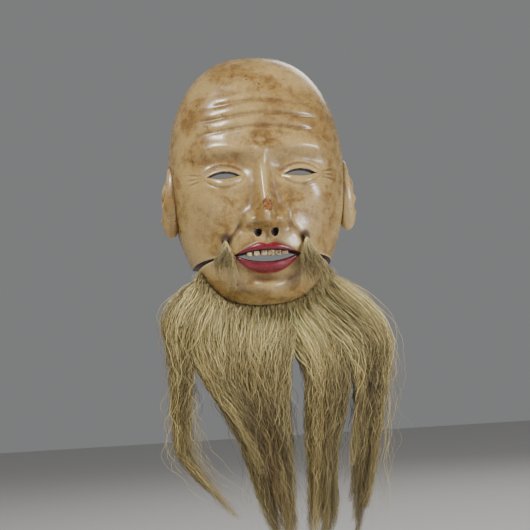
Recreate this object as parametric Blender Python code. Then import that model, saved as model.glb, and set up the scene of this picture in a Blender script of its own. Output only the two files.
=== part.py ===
"""A theatre mask of an old man with a cut jaw and a horsehair beard.

The face looks along -Y, +X is to the viewer's right and +Z is up. The back rim lies in the plane y = 0, and
the origin is the middle of the line between the two strap holes, in that plane. Heights in the functions
below are measured from the eye line unless their name says otherwise.
"""

import math

import bmesh
import bpy
import numpy as np
from mathutils import Matrix, Vector

MM = 0.001

# Overall size of the carved face, without its ears and hair.
FACE_WIDTH = 0.142
FACE_HEIGHT = 0.204
FACE_DEPTH = 0.060
STRAP_ABOVE_EYES = 0.022

# The wall left by hollowing: at the rim and at the front.
RIM_WALL = 0.0075
FRONT_WALL = 0.0095
HOLLOW_PAST_RIM = 0.004

# Room for the wearer's nose, in canon millimetres.
HOLLOW_NOSE_DEPTH = 7.0
HOLLOW_NOSE_Z = -30.0
HOLLOW_NOSE_SPREAD = (13.0, 20.0)

# The face is drawn on a grid of millimetres for a head of this size, and stretched to the size above.
CANON_WIDTH = 142.0
CANON_HEIGHT = 204.0

# Powers of the superellipses: how square the crown, the jaw, the cheeks and the profile are.
CROWN_POWER = 2.35
JAW_POWER = 3.1
SECTION_POWER = 2.5
BROW_PROFILE_POWER = 2.3
CHIN_PROFILE_POWER = 3.6
JAW_TAPER = 0.17

# Grid of the carved surface and of the hollow.
FACE_COLUMNS = 46
FACE_ROWS = 64
HOLLOW_COLUMNS = 20
HOLLOW_ROWS = 24

# Eye openings, in canon millimetres.
EYE_X = 30.0
EYE_Z = -1.5
EYE_HALF = 12.0
EYE_UP = 3.2
EYE_DOWN = 2.0

# Mouth opening, in canon millimetres.
MOUTH_Z = -64.0
MOUTH_HALF = 24.0
MOUTH_UP = 2.8
MOUTH_DOWN = 5.4

# Upper teeth: a curved row behind the upper lip.
TEETH_HALF_WIDTH = 0.0165
TEETH_DROP = 0.0042
TEETH_THICK = 0.0045
TEETH_BEHIND_LIP = 0.0035
TEETH_CURVE = 0.0035
TEETH_INTO_LIP = 0.003
TOOTH_COUNT = 6
TOOTH_NOTCH = 0.0006

# Nostrils, placed in canon millimetres.
NOSTRIL_X = 6.6
NOSTRIL_Z = -45.5
NOSTRIL_TIP_Z = -41.0
NOSTRIL_START = 0.004
NOSTRIL_RADIUS = 0.0031
NOSTRIL_RISE = math.radians(38)
NOSTRIL_LENGTH = 0.036

# Ears, flat strips carved on the sides.
EAR_HEIGHT = 0.058
EAR_DEPTH = 0.023
EAR_STAND = 0.0105
EAR_BELOW_STRAP_HOLE = 0.005
EAR_FROM_BACK = 0.0012
EAR_SUNK = 0.002
EAR_TILT = math.radians(4)
EAR_SEGMENTS = 16

# Strap holes.
STRAP_HOLE_RADIUS = 0.0023
STRAP_HOLE_DEPTH = 0.009
STRAP_DRILL_START = 0.02

# The cut jaw and the cords it hangs on.
HINGE_FROM_MOUTH = 0.0065
HINGE_BEHIND_SKIN = 0.0045
CUT_GAP = 0.0012
CUT_SLOPE = math.radians(7)
JAW_SWING = math.radians(6)
SWING_SPARE = math.radians(1.2)
CUT_ROUND = 0.0009
CORD_RADIUS = 0.0009
CORD_FIT = 0.001
CORD_HALF_HEIGHT = 0.0058
CORD_CLEARANCE = 0.0014
CORD_SQUARENESS = 0.35
CORD_STEPS = 28
CORD_SIDES = 8
KNOT_RADIUS = 0.0021

# Hair roots along the jaw's edge, and the pegs behind them.
ROOT_COUNT = 15
ROOT_RADIUS = 0.0019
ROOT_FIT = 0.0003
ROOT_STAND = 0.0022
ROOT_HOLE_SPARE = 0.006
ROOT_FROM_RIM = 0.0235
ROOT_FROM_CUT = 0.006
ROOT_LEAN = math.radians(16)
ROOT_WALL_EXTRA = 0.001
PEG_SHARE = 0.4
PEG_STAND = 0.0012
PEG_TAPER = 0.75

# Moustache tufts, placed in canon millimetres.
TUFT_X = 31.5
TUFT_Z = -51.0
TUFT_LENGTH = 0.047
TUFT_HALF_WIDTH = 0.0115
TUFT_HALF_DEPTH = 0.0022
TUFT_CLEARANCE = 0.0028
TUFT_SIDES = 12
# Each row is the share of the length, the shift outwards in metres, and the shares of width and depth.
TUFT_ROWS = (
    (-0.04, 0.0, 0.16, 0.7), (0.06, 0.0, 0.26, 0.9), (0.22, 0.001, 0.52, 1.0), (0.42, 0.003, 0.80, 1.0),
    (0.62, 0.004, 0.96, 1.0), (0.82, 0.0045, 0.92, 0.9), (1.0, 0.0045, 0.5, 0.5),
)

# Beard locks. Each row is the drop, the middle, the half width and the half depth in mm, from a line that is
# ROOT_STAND + LOCK_CLEARANCE below the chin. The middle and the half width are in canon millimetres.
LOCK_CLEARANCE = 0.0026
LOCK_SIDES = 16
LOCK_RINGS = 15
LOCK_PIVOT_ABOVE = 0.001
SIDE_PIVOT_ABOVE_CHIN = 0.012
BEARD_CENTRE = (
    (0, -2, 30, 5), (14, -9, 36, 9), (30, -16, 37, 12), (55, -17, 33, 13), (100, -6, 21, 12),
    (140, 0, 17, 10), (165, 3, 14, 9), (188, 6, 5, 4),
)
BEARD_CENTRE_RIGHT = (
    (0, 35, 4, 4), (14, 41, 11, 7), (32, 46, 15, 10), (70, 44, 16, 11), (110, 38, 13, 10),
    (160, 34, 12, 9), (184, 29, 4, 4),
)
BEARD_LEFT = (
    (-14, -58, 4, 4), (-2, -65, 9, 7), (12, -68, 12, 9), (30, -69, 9, 9), (60, -70, 6, 7),
    (102, -72, 5, 6), (122, -61, 6, 6), (146, -41, 6, 6), (166, -26, 3, 4),
)
BEARD_RIGHT = (
    (-14, 58, 4, 4), (-2, 66, 8, 7), (10, 74, 12, 9), (30, 82, 15, 10), (80, 77, 11, 10),
    (130, 67, 11, 9), (160, 62, 10, 8), (185, 56, 4, 4),
)

# Colours, as linear RGB with a roughness.
LACQUER = ((0.62, 0.47, 0.27), 0.38)
BARE_WOOD = ((0.36, 0.22, 0.11), 0.7)
CORD_BROWN = ((0.07, 0.03, 0.02), 0.8)
HORSEHAIR = ((0.36, 0.26, 0.12), 0.5)
HAIR_DARK = ((0.06, 0.04, 0.025), 0.6)

HALF_WIDTH = FACE_WIDTH / 2
HALF_HEIGHT = FACE_HEIGHT / 2
JAW_SLOPE = CUT_SLOPE + JAW_SWING + SWING_SPARE
CUTTER_REACH = 0.4


def clear_scene():
    for old in list(bpy.data.objects):
        bpy.data.objects.remove(old, do_unlink=True)


# ---------------------------------------------------------------- the carved surface


def ease(low, high, value):
    """0 below low, 1 above high and smooth between."""
    t = np.clip((value - low) / (high - low), 0, 1)
    return t * t * (3 - 2 * t)


def bump(x, z, cx, cz, rx, rz):
    return np.exp(-(((x - cx) / rx) ** 2) - ((z - cz) / rz) ** 2)


def pair(x, z, cx, cz, rx, rz):
    """The same bump on both sides of the face."""
    return bump(x, z, cx, cz, rx, rz) + bump(x, z, -cx, cz, rx, rz)


def superellipse(t, power):
    return np.clip(1 - np.abs(t) ** power, 0, 1) ** (1 / power)


def rim_half_width(z, inset=0.0):
    """Half the width of the rim at height z. The inset is how far the hollow lies inside it."""
    t = z / (HALF_HEIGHT - inset)
    power = np.where(z > 0, CROWN_POWER, JAW_POWER)
    taper = 1 - JAW_TAPER * ease(0.0, 1.0, -z / HALF_HEIGHT)
    return (HALF_WIDTH * taper - inset) * superellipse(t, power)


def profile_depth(z, inset=0.0, front=0.0):
    """Depth of the middle of the face at height z, before any feature is carved."""
    t = z / (HALF_HEIGHT - inset)
    power = np.where(z > 0, BROW_PROFILE_POWER, CHIN_PROFILE_POWER)
    return (FACE_DEPTH - front) * superellipse(t, power)


def nose_relief(x, z):
    """The bridge, the round tip and the wings, in canon millimetres."""
    run = ease(16, -34, z)
    base = ease(-47.0, -39.5, z)
    half = 4.8 + 2.6 * run**2
    bridge = (3.2 * ease(24, 8, z) + 10.5 * run**1.2) * np.exp(-np.abs(x / half) ** 2.4)
    tip = 5.6 * bump(x, z, 0, -34.5, 8.8, 8.6)
    wings = 8.2 * pair(x, z, 12.2, -37.6, 5.4, 6.2)
    crease = -1.4 * pair(x, z, 19.0, -38.5, 2.4, 6.0)
    return (bridge + tip + wings) * base + crease


def eye_arch(x, up, down, half):
    """The upper and lower edges of an almond round each eye, at x."""
    t = np.clip((np.abs(x) - EYE_X) / half, -1, 1)
    return EYE_Z + up * (1 - t * t), EYE_Z - down * (1 - t * t)


def rolled_edge(distance, radius):
    """How far a rounded edge of this radius falls away, at a distance inside its border."""
    near = np.clip(radius - distance, 0, radius)
    return radius - np.sqrt(radius**2 - near**2)


def eye_relief(x, z):
    """Sockets, a rounded eye in each, the folds of the lids and their rolled edges."""
    side = np.abs(x)
    socket = -7.0 * pair(x, z, 29, 3, 17, 11) - 2.5 * pair(x, z, 15, 3, 6, 8)
    out = ((side - EYE_X) / 15.5) ** 2 + ((z + 2) / 10.5) ** 2
    ball = 7.2 * np.exp(-(out**1.5))
    reach = ease(EYE_HALF + 7, EYE_HALF - 1, np.abs(side - EYE_X))
    upper, _ = eye_arch(x, EYE_UP + 5.0, 0, EYE_HALF + 7)
    _, lower = eye_arch(x, 0, EYE_DOWN + 7.5, EYE_HALF + 6)
    lid_fold = -1.1 * np.exp(-(((z - upper) / 1.0) ** 2)) * reach
    bag_fold = -0.8 * np.exp(-(((z - lower) / 1.3) ** 2)) * reach
    top, bottom = eye_arch(x, EYE_UP, EYE_DOWN, EYE_HALF)
    gap = np.maximum(np.maximum(z - top, bottom - z), np.abs(side - EYE_X) - EYE_HALF)
    return socket + ball + lid_fold + bag_fold - rolled_edge(gap, 1.5)


def line_groove(x, z, start, end, depth, width):
    """A short carved line on both sides of the face, fading at its ends."""
    (ax, az), (bx, bz) = start, end
    length = math.hypot(bx - ax, bz - az)
    ux, uz = (bx - ax) / length, (bz - az) / length
    along = ((np.abs(x) - ax) * ux + (z - az) * uz) / length
    off = -(np.abs(x) - ax) * uz + (z - az) * ux
    return -depth * np.exp(-((off / width) ** 2)) * ease(0.0, 0.25, along) * ease(1.0, 0.45, along)


def brow_relief(x, z):
    """A soft ridge over each eye, three shallow furrows above and short lines beside the eyes."""
    side = np.abs(x)
    arch = 18.0 + 2.5 * np.exp(-(((side - 32) / 16) ** 2))
    ridge = 3.4 * np.exp(-(((z - arch) / 6.5) ** 2)) * ease(62, 44, side)
    carved = ridge
    for level, reach, depth in ((35.0, 38.0, 1.5), (45.5, 45.0, 1.25), (56.0, 34.0, 0.9)):
        line = level + 2.2 * np.cos(side / 15.0)
        fold = np.exp(-(((z - line) / 1.6) ** 2)) - 0.55 * np.exp(-(((z - line - 4.6) / 3.6) ** 2))
        carved = carved - depth * fold * ease(reach + 12, reach - 12, side)
    for lean in (-6.0, -1.0, 4.0):
        carved = carved + line_groove(x, z, (46.5, -1.5 + lean / 3), (60.0, -1.0 + lean), 0.8, 0.9)
    return carved


def cheek_relief(x, z):
    bone = 4.5 * pair(x, z, 43, -17, 17, 13)
    hollow = -3.0 * pair(x, z, 45, -50, 13, 15)
    side = np.abs(x)
    fold_x = 16.5 + 17 * ease(-33, -62, z)
    fold = -2.0 * np.exp(-(((side - fold_x) / 2.2) ** 2)) * ease(-76, -66, z) * ease(-33, -42, z)
    return bone + hollow + fold


def lip_borders(x):
    """The heights of the upper and lower lips' outer borders, with a soft bow in the upper one."""
    t = np.clip(np.abs(x) / (MOUTH_HALF + 2.5), 0, 1)
    bow = 0.9 * np.exp(-(((np.abs(x) - 6.5) / 4.0) ** 2)) - 0.9 * np.exp(-((x / 2.8) ** 2))
    return MOUTH_Z + 8.6 * (1 - t**2.1) + bow, MOUTH_Z - 14.5 * (1 - t**2.3)


def mouth_relief(x, z):
    """The muzzle, both lips, their rolled inner edges and the groove under the nose."""
    muzzle = 6.0 * bump(x, z, 0, -60, 27, 19)
    above, below = lip_borders(x)
    span = ease(MOUTH_HALF + 3, MOUTH_HALF - 3, np.abs(x))
    lips = 2.0 * ease(-1.3, 1.5, above - z) * ease(-1.6, 2.2, z - below) * span
    full = 2.2 * bump(x, z, 0, MOUTH_Z - 9.5, 15, 3.4) + 1.0 * bump(x, z, 0, MOUTH_Z + 5.0, 14, 2.6)
    t = x / MOUTH_HALF
    arch = np.clip(1 - t * t, 0, 1)
    gap = np.maximum(z - MOUTH_Z - MOUTH_UP * arch, MOUTH_Z - MOUTH_DOWN * arch - z)
    roll = rolled_edge(np.maximum(gap, np.abs(x) - MOUTH_HALF), 2.4)
    groove = -1.3 * bump(x, z, 0, -50.5, 2.6, 4.5)
    return muzzle + lips + full + groove - roll


def chin_relief(x, z):
    return 8.5 * bump(x, z, 0, -92, 19, 10) - 3.4 * bump(x, z, 0, -81.5, 15, 4.2)


def to_canon(x, z):
    """A place on the face, in metres from the middle of the eye line, in canon millimetres."""
    return x * CANON_WIDTH / FACE_WIDTH, z * CANON_HEIGHT / FACE_HEIGHT


def relief(x, z):
    """How far the carved features stand out of the plain face at (x, z), in metres."""
    cx, cz = to_canon(x, z)
    features = (nose_relief, eye_relief, brow_relief, cheek_relief, mouth_relief, chin_relief)
    return sum(feature(cx, cz) for feature in features) * MM


def carved_y(x, z):
    """The carved front surface at (x, z), before the saw cut."""
    across = superellipse(x / np.maximum(rim_half_width(z), 1e-9), SECTION_POWER)
    plain = profile_depth(z) * across
    return -(plain + relief(x, z) * ease(0.0, 0.014, plain))


def hinge_point():
    """The middle of a jaw cord: on the cut, just inside the wall beside the mouth's corner."""
    height = MOUTH_Z * FACE_HEIGHT / CANON_HEIGHT
    x = MOUTH_HALF * FACE_WIDTH / CANON_WIDTH + HINGE_FROM_MOUTH
    skin = carved_y(np.array([x]), np.array([height]))[0]
    return x, float(skin) + HINGE_BEHIND_SKIN, height - STRAP_ABOVE_EYES


def cut_height(y, offset, slope):
    """The height of a face of the saw cut at depth y: level in front of the hinge, falling away behind."""
    _, hinge_y, hinge_z = hinge_point()
    return hinge_z + offset - np.maximum(0.0, y - hinge_y) * math.tan(slope)


def skin_y(x, z):
    """The front surface with the edges of the saw cut worn round."""
    y = carved_y(x, z)
    above = z - STRAP_ABOVE_EYES - cut_height(y, CUT_GAP / 2, CUT_SLOPE)
    below = cut_height(y, -CUT_GAP / 2, JAW_SLOPE) - z + STRAP_ABOVE_EYES
    return y + rolled_edge(np.maximum(above, below), CUT_ROUND) * ease(0.0, 0.006, -y)


def hollow_y(x, z):
    """The surface of the hollow at (x, z), with room for the wearer's nose."""
    width = np.maximum(rim_half_width(z, RIM_WALL), 1e-9)
    across = superellipse(x / width, SECTION_POWER)
    plain = profile_depth(z, RIM_WALL, FRONT_WALL) * across
    cx, cz = to_canon(x, z)
    nose = HOLLOW_NOSE_DEPTH * MM * bump(cx, cz, 0, HOLLOW_NOSE_Z, *HOLLOW_NOSE_SPREAD)
    return -(plain + nose * ease(0.0, 0.014, plain))


def even_steps(values, depths, count, focus=None):
    """count + 1 of the values, evenly spaced along the curve, closest where focus is large."""
    steps = np.hypot(np.diff(values), np.diff(depths))
    if focus is not None:
        steps = steps * focus((values[1:] + values[:-1]) / 2)
    run = np.concatenate([[0], np.cumsum(steps)])
    return np.interp(np.linspace(0, run[-1], count + 1), run, values)


def row_focus(z):
    """Rows lie closer together across the eyes and the mouth."""
    _, height = to_canon(0, z)
    eye = (height - EYE_Z) / 12
    mouth = (height - MOUTH_Z) / 14
    return 1 + 0.8 * np.exp(-(eye**2)) + 0.8 * np.exp(-(mouth**2))


def grid_block(columns, rows, inset, front, surface, back):
    """A solid with a flat back at y = back and a front that follows surface(x, z)."""
    dense = np.linspace(-math.pi / 2, math.pi / 2, 4001)
    heights = (HALF_HEIGHT - inset) * np.sin(dense)
    z = even_steps(heights, profile_depth(heights, inset, front), rows, row_focus)
    z[0], z[-1] = heights[0], heights[-1]
    shares = np.sin(dense)
    across = even_steps(shares * HALF_WIDTH, superellipse(shares, SECTION_POWER) * FACE_DEPTH, columns)
    across /= HALF_WIDTH
    half = rim_half_width(z, inset)
    mesh = bmesh.new()
    lines = []
    for row in range(rows + 1):
        x = half[row] * across
        y = surface(x, np.full_like(x, z[row]))
        y[0] = y[-1] = back
        if row in (0, rows):
            y[:] = back
        lines.append([mesh.verts.new((a, b, z[row] - STRAP_ABOVE_EYES)) for a, b in zip(x, y)])
    for low, high in zip(lines, lines[1:]):
        for a, b, c, d in zip(low, low[1:], high[1:], high):
            mesh.faces.new((a, b, c, d))
    bmesh.ops.remove_doubles(mesh, verts=mesh.verts, dist=1e-6)
    border = [edge for edge in mesh.edges if edge.is_boundary]
    bmesh.ops.contextual_create(mesh, geom=border)
    bmesh.ops.recalc_face_normals(mesh, faces=mesh.faces)
    return mesh


# ---------------------------------------------------------------- helpers for objects


def material(name, colour, roughness):
    made = bpy.data.materials.new(name)
    made.use_nodes = True
    shader = made.node_tree.nodes["Principled BSDF"]
    shader.inputs["Base Color"].default_value = (*colour, 1)
    shader.inputs["Roughness"].default_value = roughness
    shader.inputs["Metallic"].default_value = 0.0
    return made


def add_object(name, mesh, finish=None, parent=None):
    """A mesh object from a bmesh in the part's own frame, shaded smooth."""
    data = bpy.data.meshes.new(name)
    mesh.to_mesh(data)
    mesh.free()
    data.shade_smooth()
    data.set_sharp_from_angle(angle=math.radians(40))
    made = bpy.data.objects.new(name, data)
    bpy.context.scene.collection.objects.link(made)
    if finish is not None:
        data.materials.append(material(name, *finish))
    if parent is not None:
        made.parent = parent
        made.matrix_parent_inverse = Matrix.Translation(-parent.location)
    return made


def add_cutter(name, mesh):
    made = add_object(name, mesh)
    made.hide_render = True
    made.display_type = "WIRE"
    return made


def add_axis(name, location):
    made = bpy.data.objects.new(name, None)
    made.location = location
    bpy.context.scene.collection.objects.link(made)
    return made


def boolean(target, operation, other):
    cut = target.modifiers.new(f"{operation.lower()}_{other.name}", "BOOLEAN")
    cut.operation = operation
    cut.solver = "EXACT"
    cut.object = other


def rod(start, end, radius, end_radius=None, segments=12):
    """A cylinder or a cone from start to end."""
    start, end = Vector(start), Vector(end)
    turn = (end - start).to_track_quat("Z", "Y").to_matrix().to_4x4()
    mesh = bmesh.new()
    bmesh.ops.create_cone(
        mesh,
        cap_ends=True,
        segments=segments,
        radius1=radius,
        radius2=radius if end_radius is None else end_radius,
        depth=(end - start).length,
        matrix=Matrix.Translation((start + end) / 2) @ turn,
    )
    return mesh


def prism(points, start, end):
    """A polygon in the XZ plane, extruded along Y from start to end."""
    mesh = bmesh.new()
    front = [mesh.verts.new((x, start, z)) for x, z in points]
    back = [mesh.verts.new((x, end, z)) for x, z in points]
    mesh.faces.new(front)
    mesh.faces.new(back[::-1])
    count = len(points)
    for k in range(count):
        mesh.faces.new((front[k], back[k], back[(k + 1) % count], front[(k + 1) % count]))
    bmesh.ops.recalc_face_normals(mesh, faces=mesh.faces)
    return mesh


def to_world(x, z):
    """A point of the canon drawing as x and z in the part's frame."""
    return x * FACE_WIDTH / CANON_WIDTH, z * FACE_HEIGHT / CANON_HEIGHT - STRAP_ABOVE_EYES


def skin_at(x, z):
    """The front surface at a point of the part's frame."""
    return float(skin_y(np.array([x]), np.array([z + STRAP_ABOVE_EYES]))[0])


def hollow_at(x, z):
    return float(hollow_y(np.array([x]), np.array([z + STRAP_ABOVE_EYES]))[0])


# ---------------------------------------------------------------- the wooden pieces


def lens(cx, cz, half, up, down, steps=12):
    """An almond outline in the canon drawing, as points of the part's frame."""
    points = []
    for k in range(2 * steps):
        t = -1 + 2 * (k % steps) / steps
        if k < steps:
            points.append(to_world(cx + half * t, cz + up * (1 - t * t)))
        else:
            points.append(to_world(cx - half * t, cz - down * (1 - t * t)))
    return points


def below_cut(offset, slope):
    """The space under one face of the saw cut, as a cutter right across the face."""
    _, y, _ = hinge_point()
    reach = CUTTER_REACH
    outline = [(a, float(cut_height(a, offset, slope))) for a in (-reach, y, reach)]
    mesh = prism(outline + [(reach, -1), (-reach, -1)], -reach, reach)
    bmesh.ops.rotate(mesh, verts=mesh.verts, matrix=Matrix.Rotation(math.pi / 2, 3, "Z"))
    return mesh


def teeth_bar():
    """The row of upper teeth, its front parted by shallow notches."""
    steps = 4 * TOOTH_COUNT
    lip_edge = to_world(0, MOUTH_Z + MOUTH_UP)[1]
    top = lip_edge + TEETH_INTO_LIP
    lip = skin_at(0, top)
    front, back = [], []
    for k in range(steps + 1):
        t = -1 + 2 * k / steps
        x = TEETH_HALF_WIDTH * t
        y = lip + TEETH_BEHIND_LIP + TEETH_CURVE * t * t
        front.append((x, y + (TOOTH_NOTCH if k % 4 == 0 else 0.0)))
        back.append((x, y + TEETH_THICK))
    mesh = bmesh.new()
    outline = [mesh.verts.new((x, y, lip_edge - TEETH_DROP)) for x, y in front + back[::-1]]
    moved = bmesh.ops.extrude_face_region(mesh, geom=[mesh.faces.new(outline)])["geom"]
    raised = [item for item in moved if isinstance(item, bmesh.types.BMVert)]
    bmesh.ops.translate(mesh, verts=raised, vec=(0, 0, TEETH_INTO_LIP + TEETH_DROP))
    bmesh.ops.recalc_face_normals(mesh, faces=mesh.faces)
    return mesh


def ear_relief(y, z):
    """How deep the ear's dish and the groove inside its rim are, on a unit ear."""
    around = math.hypot(y + 0.08, (z - 0.12) * 0.9)
    return 0.50 * math.exp(-((around / 0.46) ** 4)) + 0.16 * math.exp(-(((around - 0.66) / 0.10) ** 2))


def ear(side):
    """A flat strip with a raised rim, a dished middle and a narrower lobe."""
    mesh = bmesh.new()
    bmesh.ops.create_uvsphere(mesh, u_segments=EAR_SEGMENTS, v_segments=EAR_SEGMENTS * 3 // 4, radius=1.0)
    for vert in mesh.verts:
        x, y, z = vert.co
        stand = 0.7 * x
        if x > 0:
            stand += 0.3 * math.sqrt(x) - ear_relief(y, z)
        narrow = 1.0 - 0.42 * max(0.0, -z - 0.15)
        vert.co = (side * stand * EAR_STAND, y * narrow * EAR_DEPTH / 2, z * EAR_HEIGHT / 2)
    height = -STRAP_HOLE_RADIUS - EAR_BELOW_STRAP_HOLE - EAR_HEIGHT / 2
    root = float(rim_half_width(np.array([height + STRAP_ABOVE_EYES]))[0])
    place = Vector((side * (root - EAR_SUNK), -EAR_DEPTH / 2 - EAR_FROM_BACK, height))
    bmesh.ops.rotate(mesh, verts=mesh.verts, matrix=Matrix.Rotation(-side * EAR_TILT, 3, "Y"))
    bmesh.ops.translate(mesh, verts=mesh.verts, vec=place)
    bmesh.ops.recalc_face_normals(mesh, faces=mesh.faces)
    return mesh


def nostril(side):
    """A hole that rises from under the nose into the hollow."""
    x, z = to_world(side * NOSTRIL_X, NOSTRIL_Z)
    front = skin_at(x, to_world(0, NOSTRIL_TIP_Z)[1])
    start = Vector((x, front + NOSTRIL_START, z - NOSTRIL_START))
    way = Vector((0, math.cos(NOSTRIL_RISE), math.sin(NOSTRIL_RISE)))
    return rod(start, start + way * NOSTRIL_LENGTH, NOSTRIL_RADIUS)


def cord_holes(side):
    """The two holes of one jaw cord, one each side of the cut."""
    x, y, z = hinge_point()
    reach = FACE_DEPTH / 2
    holes = []
    for height in (z + CORD_HALF_HEIGHT, z - CORD_HALF_HEIGHT):
        start = (side * x, y - reach, height)
        end = (side * x, y + reach, height)
        holes.append(rod(start, end, CORD_RADIUS + CORD_FIT))
    return holes


def make_cutters():
    """Every cutter, as {name: object}."""
    cutters = {}
    hollow = grid_block(HOLLOW_COLUMNS, HOLLOW_ROWS, RIM_WALL, FRONT_WALL, hollow_y, HOLLOW_PAST_RIM)
    cutters["hollow"] = add_cutter("cut_hollow", hollow)
    cutters["under"] = add_cutter("cut_under", below_cut(CUT_GAP / 2, CUT_SLOPE))
    cutters["jaw"] = add_cutter("cut_jaw", below_cut(-CUT_GAP / 2, JAW_SLOPE))
    mouth = lens(0, MOUTH_Z, MOUTH_HALF, MOUTH_UP, MOUTH_DOWN)
    cutters["mouth"] = add_cutter("cut_mouth", prism(mouth, -CUTTER_REACH, 0))
    for side, word in ((-1, "left"), (1, "right")):
        eye = lens(side * EYE_X, EYE_Z, EYE_HALF, EYE_UP, EYE_DOWN)
        cutters[f"eye_{word}"] = add_cutter(f"cut_eye_{word}", prism(eye, -CUTTER_REACH, 0))
        cutters[f"nostril_{word}"] = add_cutter(f"cut_nostril_{word}", nostril(side))
        upper, lower = cord_holes(side)
        cutters[f"cord_{word}"] = add_cutter(f"cut_cord_{word}", upper)
        cutters[f"jaw_cord_{word}"] = add_cutter(f"cut_jaw_cord_{word}", lower)
        start = (side * (HALF_WIDTH + STRAP_DRILL_START), -STRAP_HOLE_DEPTH, 0)
        end = (side * HALF_WIDTH / 2, -STRAP_HOLE_DEPTH, 0)
        cutters[f"strap_{word}"] = add_cutter(f"cut_strap_{word}", rod(start, end, STRAP_HOLE_RADIUS))
    return cutters


def face_block(name, finish, parent=None):
    mesh = grid_block(FACE_COLUMNS, FACE_ROWS, 0.0, 0.0, skin_y, 0.0)
    return add_object(name, mesh, finish, parent)


def make_upper(cutters, tuft_holes):
    upper = face_block("mask_upper", LACQUER)
    for side, word in ((-1, "left"), (1, "right")):
        boolean(upper, "UNION", add_cutter(f"ear_{word}", ear(side)))
    for name in ("hollow", "under", "mouth"):
        boolean(upper, "DIFFERENCE", cutters[name])
    boolean(upper, "UNION", add_cutter("teeth", teeth_bar()))
    for word in ("left", "right"):
        for name in ("eye", "nostril", "cord", "strap"):
            boolean(upper, "DIFFERENCE", cutters[f"{name}_{word}"])
    for hole in tuft_holes:
        boolean(upper, "DIFFERENCE", hole)
    return upper


def make_jaw(cutters, root_holes, axis):
    jaw = face_block("jaw", LACQUER, axis)
    boolean(jaw, "INTERSECT", cutters["jaw"])
    for name in ("hollow", "mouth", "jaw_cord_left", "jaw_cord_right"):
        boolean(jaw, "DIFFERENCE", cutters[name])
    for hole in root_holes:
        boolean(jaw, "DIFFERENCE", hole)
    return jaw


# ---------------------------------------------------------------- cords, roots and pegs


def square_round(value):
    """A cosine or sine pushed towards a rectangle with round corners."""
    return math.copysign(abs(value) ** CORD_SQUARENESS, value)


def jaw_cord(side):
    """A loop through the two holes, and its knot in the hollow."""
    x, y, z = hinge_point()
    spread = 2 * CORD_RADIUS
    heights = [z + way * CORD_HALF_HEIGHT + d for way in (-1, 1) for d in (-spread, 0, spread)]
    near = min(skin_at(x, height) for height in heights) - CORD_CLEARANCE - CORD_RADIUS
    far = max(hollow_at(x, height) for height in heights) + CORD_CLEARANCE + CORD_RADIUS
    mesh = bmesh.new()
    rings = []
    for k in range(CORD_STEPS):
        angle = 2 * math.pi * k / CORD_STEPS
        c, s = math.cos(angle), math.sin(angle)
        depth = (near + far) / 2 + (far - near) / 2 * square_round(c)
        centre = Vector((side * x, depth, z + CORD_HALF_HEIGHT * square_round(s)))
        ring = []
        for j in range(CORD_SIDES):
            turn = 2 * math.pi * j / CORD_SIDES
            across = Vector((math.sin(turn), c * math.cos(turn), s * math.cos(turn)))
            ring.append(mesh.verts.new(centre + across * CORD_RADIUS))
        rings.append(ring)
    for ring, after in zip(rings, rings[1:] + rings[:1]):
        for j in range(CORD_SIDES):
            k = (j + 1) % CORD_SIDES
            mesh.faces.new((ring[j], ring[k], after[k], after[j]))
    bmesh.ops.recalc_face_normals(mesh, faces=mesh.faces)
    knot = bmesh.new()
    bmesh.ops.create_icosphere(knot, subdivisions=2, radius=KNOT_RADIUS)
    bmesh.ops.translate(knot, verts=knot.verts, vec=(side * x, far + KNOT_RADIUS / 2, z))
    return mesh, knot


def jaw_edge():
    """The jaw's lower edge from the left cut to the right cut, as (x, z) at the roots' depth."""
    z = -HALF_HEIGHT * np.sin(np.linspace(0, math.pi / 2, 400)) ** (2 / JAW_POWER)
    depth = np.maximum(profile_depth(z), ROOT_FROM_RIM)
    half = rim_half_width(z) * superellipse(ROOT_FROM_RIM / depth, SECTION_POWER)
    shown = z - STRAP_ABOVE_EYES
    cut = cut_height(-ROOT_FROM_RIM, -CUT_GAP / 2, JAW_SLOPE) - ROOT_FROM_CUT
    keep = (shown < cut) & (half > 0)
    right = np.stack([half[keep], shown[keep]], axis=1)
    return np.concatenate([right * (-1, 1), right[::-1]])


def root_places():
    """Where each root leaves the jaw and the way it points, evenly spaced along the jaw's edge."""
    edge = jaw_edge()
    steps = np.linalg.norm(np.diff(edge, axis=0), axis=1)
    run = np.concatenate([[0], np.cumsum(steps)])
    places = []
    for share in np.linspace(0, 1, ROOT_COUNT):
        at = share * run[-1]
        x, z = (float(np.interp(at, run, edge[:, k])) for k in (0, 1))
        before, after = (
            np.array([np.interp(at + d, run, edge[:, k]) for k in (0, 1)]) for d in (-0.003, 0.003)
        )
        along = after - before
        outward = Vector((along[1], 0, -along[0])).normalized()
        way = outward * math.cos(ROOT_LEAN) + Vector((0, -1, 0)) * math.sin(ROOT_LEAN)
        places.append((Vector((x, -ROOT_FROM_RIM, z)), way))
    return places


def root_and_peg(place, way, wall, root_name, peg_name, parent):
    """A hair root and the peg that locks it, in one drilled hole. Returns the hole's cutter."""
    start = place - way * (wall + ROOT_HOLE_SPARE)
    end = place + way * ROOT_HOLE_SPARE
    hole = add_cutter(f"cut_{root_name}", rod(start, end, ROOT_RADIUS + ROOT_FIT))
    split = wall * PEG_SHARE
    root = rod(place - way * (wall - split), place + way * ROOT_STAND, ROOT_RADIUS)
    add_object(root_name, root, HAIR_DARK, parent)
    top = place - way * (wall - split + ROOT_FIT)
    peg = rod(top, place - way * (wall + PEG_STAND), ROOT_RADIUS * PEG_TAPER, ROOT_RADIUS)
    add_object(peg_name, peg, BARE_WOOD, parent)
    return hole


# ---------------------------------------------------------------- hair


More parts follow.
